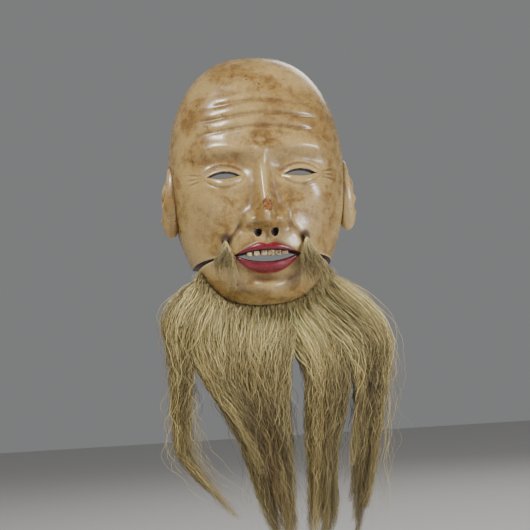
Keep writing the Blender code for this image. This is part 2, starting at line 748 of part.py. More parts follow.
def loft(rows, sides):
    """A closed tube through rows of (centre, half width, half depth), level rings, ends capped."""
    mesh = bmesh.new()
    rings = []
    for (x, y, z), half, deep in rows:
        ring = []
        for k in range(sides):
            turn = 2 * math.pi * k / sides
            ring.append(mesh.verts.new((x + half * math.cos(turn), y + deep * math.sin(turn), z)))
        rings.append(ring)
    for ring, after in zip(rings, rings[1:]):
        for k in range(sides):
            mesh.faces.new((ring[k], ring[(k + 1) % sides], after[(k + 1) % sides], after[k]))
    mesh.faces.new(rings[0])
    mesh.faces.new(rings[-1][::-1])
    bmesh.ops.recalc_face_normals(mesh, faces=mesh.faces)
    return mesh


def beard_y():
    """The plane that the beard hangs in, straight under its roots."""
    return -ROOT_FROM_RIM - ROOT_STAND * math.sin(ROOT_LEAN)


def lock_top():
    """The height that the locks' drops are measured from."""
    return -HALF_HEIGHT - STRAP_ABOVE_EYES - ROOT_STAND - LOCK_CLEARANCE


def smoothed(rows, count):
    """The same curves through the rows, at count evenly spaced places, by Catmull-Rom."""
    rows = np.array(rows, float)
    padded = np.concatenate([2 * rows[:1] - rows[1:2], rows, 2 * rows[-1:] - rows[-2:-1]])
    result = []
    for place in np.linspace(0, len(rows) - 1, count):
        k = min(int(place), len(rows) - 2)
        t = place - k
        a, b, c, d = padded[k : k + 4]
        bend = 2 * b + (c - a) * t + (2 * a - 5 * b + 4 * c - d) * t**2 + (3 * (b - c) + d - a) * t**3
        result.append(bend / 2)
    return result


def add_lock(name, rows, parent):
    placed = [
        ((to_world(x, 0)[0], beard_y(), lock_top() - drop * MM), to_world(half, 0)[0], deep * MM)
        for drop, x, half, deep in smoothed(rows, LOCK_RINGS)
    ]
    return add_object(name, loft(placed, LOCK_SIDES), HORSEHAIR, parent)


def moustache(side):
    """A thin fan of hair that hangs from its hole, over the cut and clear of the jaw."""
    x, z = to_world(side * TUFT_X, TUFT_Z)
    rows = []
    face = 0.0
    for share, aside, width, depth in TUFT_ROWS:
        level = z - share * TUFT_LENGTH
        middle = x + side * aside
        half = width * TUFT_HALF_WIDTH
        reach = np.linspace(middle - half, middle + half, 7)
        face = min(face, *(skin_at(place, level) for place in reach))
        y = face - TUFT_CLEARANCE - TUFT_HALF_DEPTH
        rows.append(((middle, y, level), half, depth * TUFT_HALF_DEPTH))
    return loft(rows, TUFT_SIDES)


def make_axes():
    """An empty on each joint's axis: the jaw's, and one across the roots of each hanging lock."""
    _, hinge_y, hinge_z = hinge_point()
    jaw_axis = add_axis("jaw_axis", (0, hinge_y, hinge_z))
    side_x = to_world(BEARD_RIGHT[0][1], 0)[0]
    side_z = -HALF_HEIGHT - STRAP_ABOVE_EYES + SIDE_PIVOT_ABOVE_CHIN
    axes = {
        "chin": add_axis("chin_beard_axis", (0, beard_y(), lock_top() + LOCK_PIVOT_ABOVE)),
        "left": add_axis("left_beard_axis", (-side_x, beard_y(), side_z)),
        "right": add_axis("right_beard_axis", (side_x, beard_y(), side_z)),
    }
    for axis in axes.values():
        axis.parent = jaw_axis
        axis.matrix_parent_inverse = Matrix.Translation(-jaw_axis.location)
    return {"jaw": jaw_axis, **axes}


def make_roots(axis):
    """The row of hair roots and pegs along the jaw. Returns the holes' cutters."""
    holes = []
    wall = RIM_WALL + ROOT_WALL_EXTRA
    for k, (place, way) in enumerate(root_places(), 1):
        holes.append(root_and_peg(place, way, wall, f"hair_root_{k:02d}", f"hair_peg_{k:02d}", axis))
    return holes


def make_side(side, word):
    """A moustache tuft with its root and peg, and a jaw cord. Returns the cutter of the tuft's hole."""
    x, z = to_world(side * TUFT_X, TUFT_Z)
    place = Vector((x, skin_at(x, z), z))
    wall = hollow_at(x, z) - place.y
    way = Vector((0, -1, 0))
    hole = root_and_peg(place, way, wall, f"moustache_root_{word}", f"moustache_peg_{word}", None)
    add_object(f"moustache_{word}", moustache(side), HORSEHAIR)
    loop, knot = jaw_cord(side)
    cord = add_object(f"jaw_cord_{word}", loop, CORD_BROWN)
    boolean(cord, "UNION", add_cutter(f"knot_{word}", knot))
    return hole


def main():
    clear_scene()
    cutters = make_cutters()
    axes = make_axes()
    make_jaw(cutters, make_roots(axes["jaw"]), axes["jaw"])
    make_upper(cutters, [make_side(side, word) for side, word in ((-1, "left"), (1, "right"))])
    add_lock("beard_centre", BEARD_CENTRE, axes["chin"])
    add_lock("beard_centre_right", BEARD_CENTRE_RIGHT, axes["chin"])
    add_lock("beard_left", BEARD_LEFT, axes["left"])
    add_lock("beard_right", BEARD_RIGHT, axes["right"])


main()
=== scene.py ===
"""Looks of an old man's theatre mask: lacquered wood, horsehair locks, cords, light and camera.

Everything is in metres in the frame's own axes: the face looks along -Y, and the back rim is the plane y = 0.
The functions of the carved surface repeat the ones that shape the CAD solids, on a much finer grid.
"""

import math

import bmesh
import bpy
import numpy as np
from mathutils import Matrix, Vector


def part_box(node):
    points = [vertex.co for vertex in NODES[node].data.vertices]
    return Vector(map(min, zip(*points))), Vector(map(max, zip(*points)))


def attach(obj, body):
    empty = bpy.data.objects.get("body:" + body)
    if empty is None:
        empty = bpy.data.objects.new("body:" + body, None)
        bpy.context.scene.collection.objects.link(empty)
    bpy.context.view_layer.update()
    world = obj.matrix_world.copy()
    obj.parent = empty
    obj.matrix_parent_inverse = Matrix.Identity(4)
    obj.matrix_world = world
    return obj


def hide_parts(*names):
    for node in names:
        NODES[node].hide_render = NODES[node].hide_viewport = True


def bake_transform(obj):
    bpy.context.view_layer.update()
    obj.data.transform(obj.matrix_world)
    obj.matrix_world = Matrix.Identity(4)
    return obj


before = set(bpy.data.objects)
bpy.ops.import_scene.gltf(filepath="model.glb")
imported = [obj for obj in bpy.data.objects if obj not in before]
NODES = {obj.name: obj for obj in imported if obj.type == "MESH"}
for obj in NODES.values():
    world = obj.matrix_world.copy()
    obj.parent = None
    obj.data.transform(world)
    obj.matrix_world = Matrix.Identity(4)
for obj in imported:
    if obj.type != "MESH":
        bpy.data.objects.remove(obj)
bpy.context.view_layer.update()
MM = 0.001
SIDES = ((-1, "left"), (1, "right"))

# Overall size, from the frame where it holds it. The carving is drawn in canon millimetres.
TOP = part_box("mask_upper")[1].z
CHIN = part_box("jaw")[0].z
FACE_HEIGHT = TOP - CHIN
HALF_HEIGHT = FACE_HEIGHT / 2
STRAP_ABOVE_EYES = HALF_HEIGHT - TOP
FACE_WIDTH = 0.142
HALF_WIDTH = FACE_WIDTH / 2
FACE_DEPTH = 0.060
RIM_WALL = 0.0075
FRONT_WALL = 0.0095
CANON_WIDTH, CANON_HEIGHT = 142.0, 204.0

# Powers of the superellipses: how square the crown, the jaw, the cheeks and the profile are.
CROWN_POWER, JAW_POWER, SECTION_POWER = 2.35, 3.1, 2.5
BROW_PROFILE_POWER, CHIN_PROFILE_POWER = 2.3, 3.6
JAW_TAPER = 0.17

# Openings, in canon millimetres.
EYE_X, EYE_Z, EYE_HALF, EYE_UP, EYE_DOWN = 30.0, -1.5, 12.0, 3.2, 2.0
MOUTH_Z, MOUTH_HALF, MOUTH_UP, MOUTH_DOWN = -64.0, 24.0, 2.8, 5.4
NOSTRIL_X, NOSTRIL_Z, NOSTRIL_TIP_Z = 6.6, -45.5, -41.0
NOSTRIL_RADIUS, NOSTRIL_START, NOSTRIL_LENGTH = 0.0031, 0.004, 0.036
NOSTRIL_RISE = math.radians(38)
HOLLOW_NOSE_DEPTH, HOLLOW_NOSE_Z, HOLLOW_NOSE_SPREAD = 7.0, -30.0, (13.0, 20.0)

# Ears and strap holes.
EAR_HEIGHT, EAR_DEPTH, EAR_STAND = 0.058, 0.023, 0.0105
EAR_BELOW_STRAP_HOLE, EAR_FROM_BACK, EAR_SUNK = 0.005, 0.0012, 0.002
EAR_TILT = math.radians(4)
STRAP_HOLE_RADIUS, STRAP_HOLE_DEPTH, STRAP_HOLE_PAST = 0.0023, 0.009, 0.02

# The saw cut and the jaw's cords.
HINGE_FROM_MOUTH, HINGE_BEHIND_SKIN = 0.0065, 0.0045
CUT_GAP = 0.0012
CUT_SLOPE = math.radians(7)
JAW_OPENS, JAW_SPARE = 6, 1.2
JAW_SLOPE = CUT_SLOPE + math.radians(JAW_OPENS + JAW_SPARE)
CUT_ROUND = 0.0009
CORD_RADIUS, CORD_FIT, CORD_HALF_HEIGHT, CORD_CLEARANCE = 0.0009, 0.001, 0.0058, 0.0014
CORD_SQUARENESS = 0.35

# Hair roots: their holes run past both ends, and every root points away from the middle of the jaw.
ROOT_RADIUS, ROOT_FIT = 0.0019, 0.0003
ROOT_COUNT = 15
ROOT_HOLE_IN, ROOT_HOLE_OUT, ROOT_HOLE_SIDES = 0.012, 0.004, 20
JAW_MIDDLE = (0.0, 0.0, -0.09)

# How fine the carved meshes are.
FACE_COLUMNS, FACE_ROWS = 240, 330
HOLLOW_COLUMNS, HOLLOW_ROWS = 110, 150
EAR_SEGMENTS = 112
OUTLINE_STEPS = 40
ROUND_SIDES = 32
DENSE_STEPS = 8001
CUTTER_REACH, HOLLOW_PAST_RIM = 0.4, 0.004

# How far in from the rim the carving, the wear and gouge marks, and the cut's worn edges fade in.
CARVING_FADE, WEAR_FADE, CUT_FADE = 0.014, 0.010, 0.006


# ---------------------------------------------------------------- the carved surface


def ease(low, high, value):
    """0 below low, 1 above high and smooth between."""
    t = np.clip((value - low) / (high - low), 0, 1)
    return t * t * (3 - 2 * t)


def bump(x, z, cx, cz, rx, rz):
    return np.exp(-(((x - cx) / rx) ** 2) - ((z - cz) / rz) ** 2)


def pair(x, z, cx, cz, rx, rz):
    """The same bump on both sides of the face."""
    return bump(x, z, cx, cz, rx, rz) + bump(x, z, -cx, cz, rx, rz)


def superellipse(t, power):
    return np.clip(1 - np.abs(t) ** power, 0, 1) ** (1 / power)


def rim_half_width(z, inset=0.0):
    """Half the width of the rim at height z. The inset is how far the hollow lies inside it."""
    t = z / (HALF_HEIGHT - inset)
    power = np.where(z > 0, CROWN_POWER, JAW_POWER)
    taper = 1 - JAW_TAPER * ease(0.0, 1.0, -z / HALF_HEIGHT)
    return (HALF_WIDTH * taper - inset) * superellipse(t, power)


def profile_depth(z, inset=0.0, front=0.0):
    """Depth of the middle of the face at height z, before any feature is carved."""
    t = z / (HALF_HEIGHT - inset)
    power = np.where(z > 0, BROW_PROFILE_POWER, CHIN_PROFILE_POWER)
    return (FACE_DEPTH - front) * superellipse(t, power)


def nose_relief(x, z):
    """The bridge, the round tip and the wings, in canon millimetres."""
    run = ease(16, -34, z)
    base = ease(-47.0, -39.5, z)
    half = 4.8 + 2.6 * run**2
    bridge = (3.2 * ease(24, 8, z) + 10.5 * run**1.2) * np.exp(-np.abs(x / half) ** 2.4)
    tip = 5.6 * bump(x, z, 0, -34.5, 8.8, 8.6)
    wings = 8.2 * pair(x, z, 12.2, -37.6, 5.4, 6.2)
    crease = -1.4 * pair(x, z, 19.0, -38.5, 2.4, 6.0)
    return (bridge + tip + wings) * base + crease


def eye_arch(x, up, down, half):
    """The upper and lower edges of an almond round each eye, at x."""
    t = np.clip((np.abs(x) - EYE_X) / half, -1, 1)
    return EYE_Z + up * (1 - t * t), EYE_Z - down * (1 - t * t)


def rolled_edge(distance, radius):
    """How far a rounded edge of this radius falls away, at a distance inside its border."""
    near = np.clip(radius - distance, 0, radius)
    return radius - np.sqrt(radius**2 - near**2)


def eye_gap(x, z):
    """Distance outside the eye opening, below 0 inside it."""
    top, bottom = eye_arch(x, EYE_UP, EYE_DOWN, EYE_HALF)
    return np.maximum(np.maximum(z - top, bottom - z), np.abs(np.abs(x) - EYE_X) - EYE_HALF)


def eye_relief(x, z):
    """Sockets, a rounded eye in each, the folds of the lids and their rolled edges."""
    side = np.abs(x)
    socket = -7.0 * pair(x, z, 29, 3, 17, 11) - 2.5 * pair(x, z, 15, 3, 6, 8)
    out = ((side - EYE_X) / 15.5) ** 2 + ((z + 2) / 10.5) ** 2
    ball = 7.2 * np.exp(-(out**1.5))
    reach = ease(EYE_HALF + 7, EYE_HALF - 1, np.abs(side - EYE_X))
    upper, _ = eye_arch(x, EYE_UP + 5.0, 0, EYE_HALF + 7)
    _, lower = eye_arch(x, 0, EYE_DOWN + 7.5, EYE_HALF + 6)
    lid_fold = -1.1 * np.exp(-(((z - upper) / 1.0) ** 2)) * reach
    bag_fold = -0.8 * np.exp(-(((z - lower) / 1.3) ** 2)) * reach
    return socket + ball + lid_fold + bag_fold - rolled_edge(eye_gap(x, z), 1.5)


def line_groove(x, z, start, end, depth, width):
    """A short carved line on both sides of the face, fading at its ends."""
    (ax, az), (bx, bz) = start, end
    length = math.hypot(bx - ax, bz - az)
    ux, uz = (bx - ax) / length, (bz - az) / length
    along = ((np.abs(x) - ax) * ux + (z - az) * uz) / length
    off = -(np.abs(x) - ax) * uz + (z - az) * ux
    return -depth * np.exp(-((off / width) ** 2)) * ease(0.0, 0.25, along) * ease(1.0, 0.45, along)


def brow_relief(x, z):
    """A soft ridge over each eye, three shallow furrows above and short lines beside the eyes."""
    side = np.abs(x)
    arch = 18.0 + 2.5 * np.exp(-(((side - 32) / 16) ** 2))
    ridge = 3.4 * np.exp(-(((z - arch) / 6.5) ** 2)) * ease(62, 44, side)
    carved = ridge
    for level, reach, depth in ((35.0, 38.0, 1.5), (45.5, 45.0, 1.25), (56.0, 34.0, 0.9)):
        line = level + 2.2 * np.cos(side / 15.0)
        fold = np.exp(-(((z - line) / 1.6) ** 2)) - 0.55 * np.exp(-(((z - line - 4.6) / 3.6) ** 2))
        carved = carved - depth * fold * ease(reach + 12, reach - 12, side)
    for lean in (-6.0, -1.0, 4.0):
        carved = carved + line_groove(x, z, (46.5, -1.5 + lean / 3), (60.0, -1.0 + lean), 0.8, 0.9)
    return carved


def cheek_relief(x, z):
    bone = 4.5 * pair(x, z, 43, -17, 17, 13)
    hollow = -3.0 * pair(x, z, 45, -50, 13, 15)
    side = np.abs(x)
    fold_x = 16.5 + 17 * ease(-33, -62, z)
    fold = -2.0 * np.exp(-(((side - fold_x) / 2.2) ** 2)) * ease(-76, -66, z) * ease(-33, -42, z)
    return bone + hollow + fold


def lip_borders(x):
    """The heights of the upper and lower lips' outer borders, with a soft bow in the upper one."""
    t = np.clip(np.abs(x) / (MOUTH_HALF + 2.5), 0, 1)
    bow = 0.9 * np.exp(-(((np.abs(x) - 6.5) / 4.0) ** 2)) - 0.9 * np.exp(-((x / 2.8) ** 2))
    return MOUTH_Z + 8.6 * (1 - t**2.1) + bow, MOUTH_Z - 14.5 * (1 - t**2.3)


def mouth_gap(x, z):
    """Distance outside the mouth opening, below 0 inside it."""
    arch = np.clip(1 - (x / MOUTH_HALF) ** 2, 0, 1)
    gap = np.maximum(z - MOUTH_Z - MOUTH_UP * arch, MOUTH_Z - MOUTH_DOWN * arch - z)
    return np.maximum(gap, np.abs(x) - MOUTH_HALF)


def mouth_relief(x, z):
    """The muzzle, both lips, their rolled inner edges and the groove under the nose."""
    muzzle = 6.0 * bump(x, z, 0, -60, 27, 19)
    above, below = lip_borders(x)
    span = ease(MOUTH_HALF + 3, MOUTH_HALF - 3, np.abs(x))
    lips = 2.0 * ease(-1.3, 1.5, above - z) * ease(-1.6, 2.2, z - below) * span
    full = 2.2 * bump(x, z, 0, MOUTH_Z - 9.5, 15, 3.4) + 1.0 * bump(x, z, 0, MOUTH_Z + 5.0, 14, 2.6)
    groove = -1.3 * bump(x, z, 0, -50.5, 2.6, 4.5)
    return muzzle + lips + full + groove - rolled_edge(mouth_gap(x, z), 2.4)


def chin_relief(x, z):
    return 8.5 * bump(x, z, 0, -92, 19, 10) - 3.4 * bump(x, z, 0, -81.5, 15, 4.2)


def to_canon(x, z):
    """A place on the face, in metres from the middle of the eye line, in canon millimetres."""
    return x * CANON_WIDTH / FACE_WIDTH, z * CANON_HEIGHT / FACE_HEIGHT


def relief(x, z):
    """How far the carved features stand out of the plain face at (x, z), in metres."""
    cx, cz = to_canon(x, z)
    features = (nose_relief, eye_relief, brow_relief, cheek_relief, mouth_relief, chin_relief)
    return sum(feature(cx, cz) for feature in features) * MM


def carved_y(x, z):
    """The carved front surface at (x, z), before the saw cut."""
    across = superellipse(x / np.maximum(rim_half_width(z), 1e-9), SECTION_POWER)
    plain = profile_depth(z) * across
    return -(plain + relief(x, z) * ease(0.0, CARVING_FADE, plain))


def hinge_point():
    """The middle of a jaw cord: on the cut, just inside the wall beside the mouth's corner."""
    height = MOUTH_Z * FACE_HEIGHT / CANON_HEIGHT
    x = MOUTH_HALF * FACE_WIDTH / CANON_WIDTH + HINGE_FROM_MOUTH
    skin = carved_y(np.array([x]), np.array([height]))[0]
    return x, float(skin) + HINGE_BEHIND_SKIN, height - STRAP_ABOVE_EYES


def cut_height(y, offset, slope):
    """Height of a face of the saw cut at depth y: level in front of the hinge, falling away behind."""
    _, hinge_y, hinge_z = hinge_point()
    return hinge_z + offset - np.maximum(0.0, y - hinge_y) * math.tan(slope)


def cut_distance(y, z):
    """Distance from the saw cut, for the upper piece above it or the jaw below it."""
    above = z - STRAP_ABOVE_EYES - cut_height(y, CUT_GAP / 2, CUT_SLOPE)
    below = cut_height(y, -CUT_GAP / 2, JAW_SLOPE) - z + STRAP_ABOVE_EYES
    return np.maximum(above, below)


def skin_y(x, z):
    """The front surface with the edges of the saw cut worn round."""
    y = carved_y(x, z)
    return y + rolled_edge(cut_distance(y, z), CUT_ROUND) * ease(0.0, CUT_FADE, -y)


def hollow_y(x, z):
    """The surface of the hollow at (x, z), with room for the wearer's nose."""
    width = np.maximum(rim_half_width(z, RIM_WALL), 1e-9)
    across = superellipse(x / width, SECTION_POWER)
    plain = profile_depth(z, RIM_WALL, FRONT_WALL) * across
    cx, cz = to_canon(x, z)
    nose = HOLLOW_NOSE_DEPTH * MM * bump(cx, cz, 0, HOLLOW_NOSE_Z, *HOLLOW_NOSE_SPREAD)
    return -(plain + nose * ease(0.0, CARVING_FADE, plain))


# Gouge marks in the hollow: how big one scoop is, how deep, and how far its place may wander.
GOUGE_WIDTH, GOUGE_LENGTH, GOUGE_DEPTH = 0.0075, 0.014, 0.00045
GOUGE_WANDER = 0.28


def gouged_y(x, z):
    """The hollow with overlapping gouge scoops, staggered in rows like the marks of a round chisel."""
    draw = np.random.default_rng(7)
    columns = int(FACE_WIDTH / GOUGE_WIDTH) + 4
    rows = int(FACE_HEIGHT / GOUGE_LENGTH) + 4
    jitter = draw.uniform(-GOUGE_WANDER, GOUGE_WANDER, (rows, columns, 2))
    u = x / GOUGE_WIDTH + columns / 2
    v = z / GOUGE_LENGTH + rows / 2
    nearest = np.full(np.shape(x), np.inf)
    for dv in (-1, 0, 1):
        row = np.clip(np.floor(v).astype(int) + dv, 0, rows - 1)
        for du in (-1, 0, 1):
            shift = 0.5 * (row % 2)
            column = np.clip(np.floor(u - shift).astype(int) + du, 0, columns - 1)
            across = u - (column + 0.5 + shift + jitter[row, column, 0])
            along = v - (row + 0.5 + jitter[row, column, 1])
            nearest = np.minimum(nearest, across**2 + along**2)
    scoop = GOUGE_DEPTH * (1 - 2 * np.minimum(nearest, 0.5))
    plain = hollow_y(x, z)
    return plain - scoop * ease(0.0, WEAR_FADE, -plain)


def even_steps(values, depths, count, focus=None):
    """count + 1 of the values, evenly spaced along the curve, closest where focus is large."""
    steps = np.hypot(np.diff(values), np.diff(depths))
    if focus is not None:
        steps = steps * focus((values[1:] + values[:-1]) / 2)
    run = np.concatenate([[0], np.cumsum(steps)])
    return np.interp(np.linspace(0, run[-1], count + 1), run, values)


def row_focus(z):
    """Rows lie closer together across the eyes and the mouth."""
    _, height = to_canon(0, z)
    eye = (height - EYE_Z) / 12
    mouth = (height - MOUTH_Z) / 14
    return 1 + 0.8 * np.exp(-(eye**2)) + 0.8 * np.exp(-(mouth**2))


def grid_block(columns, rows, inset, front, surface, back):
    """A solid with a flat back at y = back and a front that follows surface(x, z), as a bmesh."""
    dense = np.linspace(-math.pi / 2, math.pi / 2, DENSE_STEPS)
    heights = (HALF_HEIGHT - inset) * np.sin(dense)
    z = even_steps(heights, profile_depth(heights, inset, front), rows, row_focus)
    z[0], z[-1] = heights[0], heights[-1]
    shares = np.sin(dense)
    across = even_steps(shares * HALF_WIDTH, superellipse(shares, SECTION_POWER) * FACE_DEPTH, columns)
    x = rim_half_width(z, inset)[:, None] * across / HALF_WIDTH
    height = np.repeat(z[:, None], columns + 1, axis=1)
    y = surface(x, height)
    y[:, [0, -1]] = back
    y[[0, -1]] = back
    points = np.stack([x, y, height - STRAP_ABOVE_EYES], axis=-1).reshape(-1, 3)
    index = np.arange(len(points)).reshape(rows + 1, columns + 1)
    quads = np.stack([index[:-1, :-1], index[:-1, 1:], index[1:, 1:], index[1:, :-1]], axis=-1)
    data = bpy.data.meshes.new("block")
    data.from_pydata(points.tolist(), [], quads.reshape(-1, 4).tolist())
    mesh = bmesh.new()
    mesh.from_mesh(data)
    bpy.data.meshes.remove(data)
    bmesh.ops.remove_doubles(mesh, verts=mesh.verts, dist=1e-6)
    border = [edge for edge in mesh.edges if edge.is_boundary]
    bmesh.ops.contextual_create(mesh, geom=border)
    bmesh.ops.recalc_face_normals(mesh, faces=mesh.faces)
    return mesh


# ---------------------------------------------------------------- helpers for objects


def add_object(name, mesh):
    """An object from a bmesh in the frame's own axes."""
    data = bpy.data.meshes.new(name)
    mesh.to_mesh(data)
    mesh.free()
    made = bpy.data.objects.new(name, data)
    bpy.context.scene.collection.objects.link(made)
    return made


def rod(start, end, radius, segments=ROUND_SIDES):
    start, end = Vector(start), Vector(end)
    turn = (end - start).to_track_quat("Z", "Y").to_matrix().to_4x4()
    mesh = bmesh.new()
    bmesh.ops.create_cone(
        mesh,
        cap_ends=True,
        segments=segments,
        radius1=radius,
        radius2=radius,
        depth=(end - start).length,
        matrix=Matrix.Translation((start + end) / 2) @ turn,
    )
    return mesh


def prism(points, start, end):
    """A polygon in the XZ plane, extruded along Y from start to end."""
    mesh = bmesh.new()
    front = [mesh.verts.new((x, start, z)) for x, z in points]
    back = [mesh.verts.new((x, end, z)) for x, z in points]
    mesh.faces.new(front)
    mesh.faces.new(back[::-1])
    count = len(points)
    for k in range(count):
        mesh.faces.new((front[k], back[k], back[(k + 1) % count], front[(k + 1) % count]))
    bmesh.ops.recalc_face_normals(mesh, faces=mesh.faces)
    return mesh


def boolean_chain(obj, steps):
    """Applies one Boolean after another. Each step is an operation and a bmesh, used up here."""
    helpers = []
    for operation, mesh in steps:
        helper = add_object("cutter", mesh)
        change = obj.modifiers.new(operation.lower(), "BOOLEAN")
        change.operation = operation
        change.solver = "MANIFOLD"
        change.object = helper
        helpers.append(helper)
    graph = bpy.context.evaluated_depsgraph_get()
    result = bpy.data.meshes.new_from_object(obj.evaluated_get(graph), depsgraph=graph)
    obj.modifiers.clear()
    obj.data = result
    for helper in helpers:
        bpy.data.objects.remove(helper, do_unlink=True)


def to_world(x, z):
    """A point of the canon drawing as x and z in the frame."""
    return x * FACE_WIDTH / CANON_WIDTH, z * FACE_HEIGHT / CANON_HEIGHT - STRAP_ABOVE_EYES


def skin_at(x, z):
    """The front surface at a point of the frame."""
    return float(skin_y(np.array([x]), np.array([z + STRAP_ABOVE_EYES]))[0])


def hollow_at(x, z):
    return float(hollow_y(np.array([x]), np.array([z + STRAP_ABOVE_EYES]))[0])


def points_of(obj):
    points = np.zeros(len(obj.data.vertices) * 3, np.float32)
    obj.data.vertices.foreach_get("co", points)
    return points.reshape(-1, 3).astype(float)


def set_points(obj, points):
    obj.data.vertices.foreach_set("co", points.astype(np.float32).ravel())
    obj.data.update()


def store(obj, name, values):
    """A value for each vertex, which the materials read by name."""
    layer = obj.data.attributes.new(name, "FLOAT", "POINT")
    layer.data.foreach_set("value", np.asarray(values, np.float32))


def smooth(obj, angle=40):
    obj.data.shade_smooth()
    obj.data.set_sharp_from_angle(angle=math.radians(angle))


# ---------------------------------------------------------------- the wooden pieces


def lens(cx, cz, half, up, down):
    """An almond outline in the canon drawing, as points of the frame."""
    points = []
    for k in range(2 * OUTLINE_STEPS):
        t = -1 + 2 * (k % OUTLINE_STEPS) / OUTLINE_STEPS
        if k < OUTLINE_STEPS:
            points.append(to_world(cx + half * t, cz + up * (1 - t * t)))
        else:
            points.append(to_world(cx - half * t, cz - down * (1 - t * t)))
    return points


def below_cut(offset, slope):
    """The space under one face of the saw cut, as a cutter right across the face."""
    _, y, _ = hinge_point()
    reach = CUTTER_REACH
    outline = [(a, float(cut_height(a, offset, slope))) for a in (-reach, y, reach)]
    mesh = prism(outline + [(reach, -1), (-reach, -1)], -reach, reach)
    bmesh.ops.rotate(mesh, verts=mesh.verts, matrix=Matrix.Rotation(math.pi / 2, 3, "Z"))
    return mesh


def hollow():
    return grid_block(HOLLOW_COLUMNS, HOLLOW_ROWS, RIM_WALL, FRONT_WALL, gouged_y, HOLLOW_PAST_RIM)


def mouth_hole():
    return prism(lens(0, MOUTH_Z, MOUTH_HALF, MOUTH_UP, MOUTH_DOWN), -CUTTER_REACH, 0)


def cord_hole(side, way):
    """The hole of one jaw cord in the upper mask, way 1, or in the jaw, way -1."""
    x, y, z = hinge_point()
    height = z + way * CORD_HALF_HEIGHT
    reach = FACE_DEPTH / 2
    return rod((side * x, y - reach, height), (side * x, y + reach, height), CORD_RADIUS + CORD_FIT)


def nostril(side):
    """A hole that rises from under the nose into the hollow."""
    x, z = to_world(side * NOSTRIL_X, NOSTRIL_Z)
    front = skin_at(x, to_world(0, NOSTRIL_TIP_Z)[1])
    start = Vector((x, front + NOSTRIL_START, z - NOSTRIL_START))
    way = Vector((0, math.cos(NOSTRIL_RISE), math.sin(NOSTRIL_RISE)))
    return rod(start, start + way * NOSTRIL_LENGTH, NOSTRIL_RADIUS)


def root_names(numbers):
    return [f"hair_root_{k:02d}" for k in numbers]


def root_line(node):
    """(middle of the inner end, middle of the outer end) of a hair root's solid."""
    points = points_of(NODES[node])
    middle = points.mean(axis=0)
    way = np.linalg.svd(points - middle)[2][0]
    inward = np.array(JAW_MIDDLE) - middle
    if way @ inward > 0:
        way = -way
    along = (points - middle) @ way
    return Vector(middle + way * along.min()), Vector(middle + way * along.max())


def root_hole(node):
    inner, outer = root_line(node)
    way = (outer - inner).normalized()
    radius = ROOT_RADIUS + ROOT_FIT
    return rod(inner - way * ROOT_HOLE_IN, outer + way * ROOT_HOLE_OUT, radius, ROOT_HOLE_SIDES)


def ear_shape(y, z):
    """How deep a unit ear is carved at a place: its bowl, its upper hollow and the groove in its rim."""
    bowl = 0.60 * bump(y, z, -0.14, -0.16, 0.38, 0.26)
    upper = 0.30 * bump(y, z, -0.04, 0.42, 0.26, 0.17)
    over_the_top = ease(-0.70, -0.20, z + 0.35 * y) * ease(-0.75, -0.20, y + 0.9 * z)
    groove = 0.34 * np.exp(-(((np.hypot(y, z) - 0.69) / 0.11) ** 2)) * over_the_top
    knobs = 0.20 * bump(y, z, -0.60, -0.16, 0.15, 0.13) + 0.12 * bump(y, z, 0.05, -0.50, 0.24, 0.08)
    return bowl + upper + groove - knobs


def ear(side):
    """A long oval, carved on its outer side, with a narrower lobe."""
    mesh = bmesh.new()
    rings = EAR_SEGMENTS * 3 // 4
    bmesh.ops.create_uvsphere(mesh, u_segments=EAR_SEGMENTS, v_segments=rings, radius=1.0)
    for vert in mesh.verts:
        x, y, z = vert.co
        stand = 0.7 * x
        if x > 0:
            stand += 0.3 * math.sqrt(x) - float(ear_shape(y, z))
        narrow = 1.0 - 0.42 * max(0.0, -z - 0.15)
        vert.co = (side * stand * EAR_STAND, y * narrow * EAR_DEPTH / 2, z * EAR_HEIGHT / 2)
    height = -STRAP_HOLE_RADIUS - EAR_BELOW_STRAP_HOLE - EAR_HEIGHT / 2
    root = float(rim_half_width(np.array([height + STRAP_ABOVE_EYES]))[0])
    place = Vector((side * (root - EAR_SUNK), -EAR_DEPTH / 2 - EAR_FROM_BACK, height))
    bmesh.ops.rotate(mesh, verts=mesh.verts, matrix=Matrix.Rotation(-side * EAR_TILT, 3, "Y"))
    bmesh.ops.translate(mesh, verts=mesh.verts, vec=place)
    bmesh.ops.recalc_face_normals(mesh, faces=mesh.faces)
    return mesh


def strap_hole(side):
    ends = [(side * x, -STRAP_HOLE_DEPTH, 0) for x in (HALF_WIDTH + STRAP_HOLE_PAST, HALF_WIDTH / 2)]
    return rod(*ends, STRAP_HOLE_RADIUS)


# Rounding of the back rim's two edges.
RIM_ROUND = 0.0013
RIM_RINGS = (0.07, 0.25, 0.6, 1.0)


